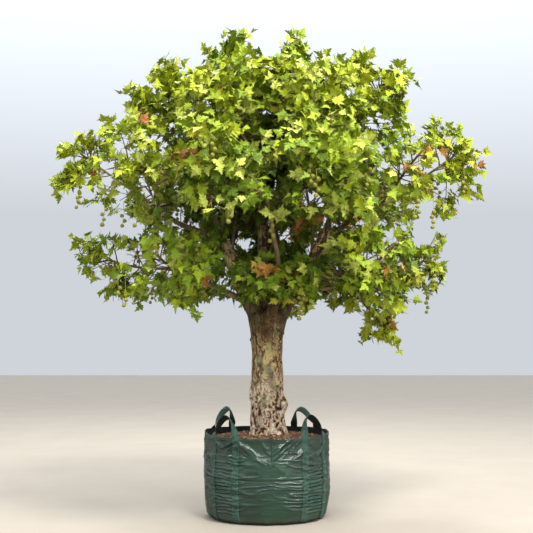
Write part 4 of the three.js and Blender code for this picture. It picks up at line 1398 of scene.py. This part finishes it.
def make_fruit():
    """Balls with a rough skin, to the left and right of their stalks"""
    bm = bmesh.new()
    bmesh.ops.create_icosphere(bm, subdivisions=2, radius=1.0)
    ball = np.array([v.co[:] for v in bm.verts])
    faces = np.array([[v.index for v in f.verts] for f in bm.faces])
    bm.free()
    ball *= np.where(np.arange(len(ball)) % 2, 1.0, 0.88)[:, None]
    balls, stalks = Pile(), Pile()
    for line, count in hung:
        stalks.add(*tubes(line[None], np.full((1, 6), 1.7), 4))
        drop = line[0, 2] - line[-1, 2]
        for k in range(count):
            share = max(0.1, 1 - k * BALL_SPACING / drop)
            at = np.array([np.interp(share, np.linspace(0, 1, 6), line[:, i]) for i in range(3)])
            at = at + [(1 if k % 2 else -1) * rng.uniform(2, 15), rng.normal(0, 7), 0]
            balls.add(at + ball * rng.uniform(16, 20), faces)
    stalk_paint = young_bark_paint("fruit_stalk", (130, 120, 58), (156, 144, 82))
    return balls.build("fruit_balls", fruit_paint(), False), stalks.build("fruit_stalks", stalk_paint)


def make_twigs():
    pile = Pile()
    for line, radii in stems:
        pile.add(*tubes(line[None], radii[None] * (1 + 0.3 * np.exp(-np.linspace(0, 9, 16))), 8))
    lines, radii = np.array(twig_lines), np.array(twig_radii)
    lesser = radii[:, 0] < 3
    kept = ~(lesser & in_gaps(lines[:, 3]) & in_gaps(lines[:, 6]))
    lines, radii, lesser = lines[kept], radii[kept], lesser[kept]
    pile.add(*tubes(lines[~lesser], radii[~lesser], 6))
    pile.add(*tubes(lines[lesser], radii[lesser], 4))
    return pile.build("twigs", young_bark_paint("twig_bark", (82, 66, 40), (112, 92, 58)))


def clear_leaves():
    """The leaves clear of the small gaps, the fruit and the part's box, each kind of fact in one array"""
    facts = [np.array(column) for column in zip(*leaf_rows)]
    _, base, along, _, size, _ = facts
    middles = base + along * size[:, None] * 0.5
    looks = seen(middles)
    clear = ~in_gaps(middles)
    low, high = np.array(cad_box) / MM
    reach = 0.6 * size[:, None]
    clear &= ((middles - reach > low - PROUD) & (middles + reach < high + PROUD)).all(-1)
    # No leaf hangs before a string of fruit
    for line, _ in hung:
        low, high = seen(line[-1]), seen(line[1])
        level = (looks[:, 1] > low[1] - 50) & (looks[:, 1] < high[1])
        clear &= ~(level & (np.abs(looks[:, 0] - low[0]) < 58) & (middles[:, 1] < line[0, 1] + 40))
    return [column[clear] for column in facts]


def leaf_shapes(flat, count):
    """Leaves that are folded, cupped and bent by chance: across, along and out of the blade"""
    half = len(LEAF_HALF)
    shape = np.broadcast_to(flat, (count, *flat.shape)) * rng.uniform(0.93, 1.07, (count, len(flat), 2))
    shape[:, [LEAF_NOTCH, LEAF_NOTCH + half], 1] -= rng.uniform(-0.03, 0.04, (count, 1))
    shape[..., 0] *= rng.uniform(0.84, 1.08, (count, 1))
    shape[..., 0] += shape[..., 1] * rng.normal(0, 0.08, (count, 1))
    x, y = shape[..., 0], shape[..., 1]
    fold = rng.uniform(-0.05, 0.5, (count, 1))
    droop = rng.uniform(-0.12, 0.5, (count, 1))
    cup = rng.uniform(-0.3, 0.3, (count, 1))
    z = fold * np.abs(x) - droop * y * y - cup * x * x + rng.normal(0, 0.2, (count, 1)) * x * y
    z[:, [LEAF_MIDDLE, LEAF_MIDDLE + half]] -= 0.035
    z[:, [LEAF_NOTCH, LEAF_NOTCH + half]] += 0.03
    return x, y, z


def make_leaves():
    """A piece for each tint, and one for the stalks"""
    node, base, along, normal, size, tint = clear_leaves()
    flat = np.vstack([LEAF_RIB, LEAF_HALF, LEAF_HALF * [-1, 1]])
    left = np.where(LEAF_FACES >= len(LEAF_RIB), LEAF_FACES + len(LEAF_HALF), LEAF_FACES)[:, ::-1]
    faces = np.vstack([LEAF_FACES, left])
    across = np.cross(along, normal)
    x, y, z = leaf_shapes(flat, len(size))
    turned = x[..., None] * across[:, None] + y[..., None] * along[:, None] + z[..., None] * normal[:, None]
    points = base[:, None] + size[:, None, None] * turned
    made = []
    for k, name in enumerate(TINT_NAMES):
        mine = np.flatnonzero(tint == k)
        offset = (np.arange(len(mine)) * len(flat))[:, None, None]
        blades = (faces + offset).reshape(-1, 3)
        paint = leaf_paint(name, TINTS[name])
        made.append(build("leaves_" + name, points[mine].reshape(-1, 3), blades, paint, False))
    stalks = np.stack([node, base + along * (size * 0.05)[:, None]], 1)
    pile = Pile()
    pile.add(*tubes(stalks, np.broadcast_to(np.array([1.7, 1.2]), stalks.shape[:2]), 3))
    made.append(pile.build("leaf_stalks", young_bark_paint("stalk_skin", (130, 134, 60), (156, 156, 84))))
    return made


# The pieces, each on the part's one body and standing for its solids
def settle(piece, slot, *nodes):
    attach(piece, "root")
    if nodes:
        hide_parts(*nodes)


hang_fruit()
settle(make_bag(), "woven_bag", "planter_bag")
straps, thread = make_straps()
settle(straps, "webbing", *("lifting_loop_" + name for name in CORNERS))
settle(thread, "webbing")
soil, *chips = make_mulch()
settle(soil, "root_ball", "root_ball")
for piece in chips:
    settle(piece, "root_ball")
settle(make_wood(), "bark", "trunk", *(name for name in BOUGHS if limbs[name].main))
settle(make_limbs(), "young_bark", *(name for name in BOUGHS if not limbs[name].main))
settle(make_twigs(), "young_bark")
first, *others = make_leaves()
settle(first, "foliage", *("foliage_" + mass.name for mass in masses))
for piece in (*others, *make_fruit()):
    settle(piece, "foliage")


# Floor and light
def make_floor():
    corners = np.array([(-1, -1, 0), (1, -1, 0), (1, 1, 0), (-1, 1, 0)]) * 30000.0
    paint = Paint("floor", roughness=0.9, specular=0.2)
    grain = paint.noise(1.5, 4, 0.6)
    paint.set("Base Color", paint.mix(grain, (138, 130, 119), (150, 142, 131)))
    build("floor", corners, np.array([[0, 1, 2, 3]]), paint.material)


def add_light(name, place, target, size, power, colour=(1, 1, 1)):
    data = bpy.data.lights.new(name, "AREA")
    data.shape = "DISK"
    data.size = size
    data.energy = power
    data.color = colour
    light = bpy.data.objects.new(name, data)
    bpy.context.scene.collection.objects.link(light)
    light.location = place
    light.rotation_euler = (Vector(target) - Vector(place)).to_track_quat("-Z", "Y").to_euler()
    return light


make_floor()
world = bpy.data.worlds.new("studio")
bpy.context.scene.world = world
world.use_nodes = True
sky = world.node_tree
background = sky.nodes["Background"]
background.inputs["Color"].default_value = (0.84, 0.89, 0.95, 1)
# The backdrop is brighter overhead than it is level with the eye
height = sky.nodes.new("ShaderNodeSeparateXYZ")
sky.links.new(sky.nodes.new("ShaderNodeTexCoord").outputs["Generated"], height.inputs["Vector"])
strength = sky.nodes.new("ShaderNodeMapRange")
for key, value in ((1, 0.12), (2, 0.8), (3, 0.74), (4, 2.4)):
    strength.inputs[key].default_value = value
sky.links.new(height.outputs["Z"], strength.inputs["Value"])
sky.links.new(strength.outputs["Result"], background.inputs["Strength"])
add_light("key", (2.7, -5.6, 10.4), (0, 0, 2.6), 3.0, 2250, (1, 0.97, 0.9))
add_light("side", (5.4, -4.6, 3.0), (0.6, 0, 1.7), 2.0, 70)
add_light("front", (2.6, -9.3, 3.2), (0, 0, 1.7), 3.6, 280, (1, 0.97, 0.92)).visible_glossy = False
add_light("back", (-1, 6.0, 9.0), (0, 0, 2.5), 3.0, 900)
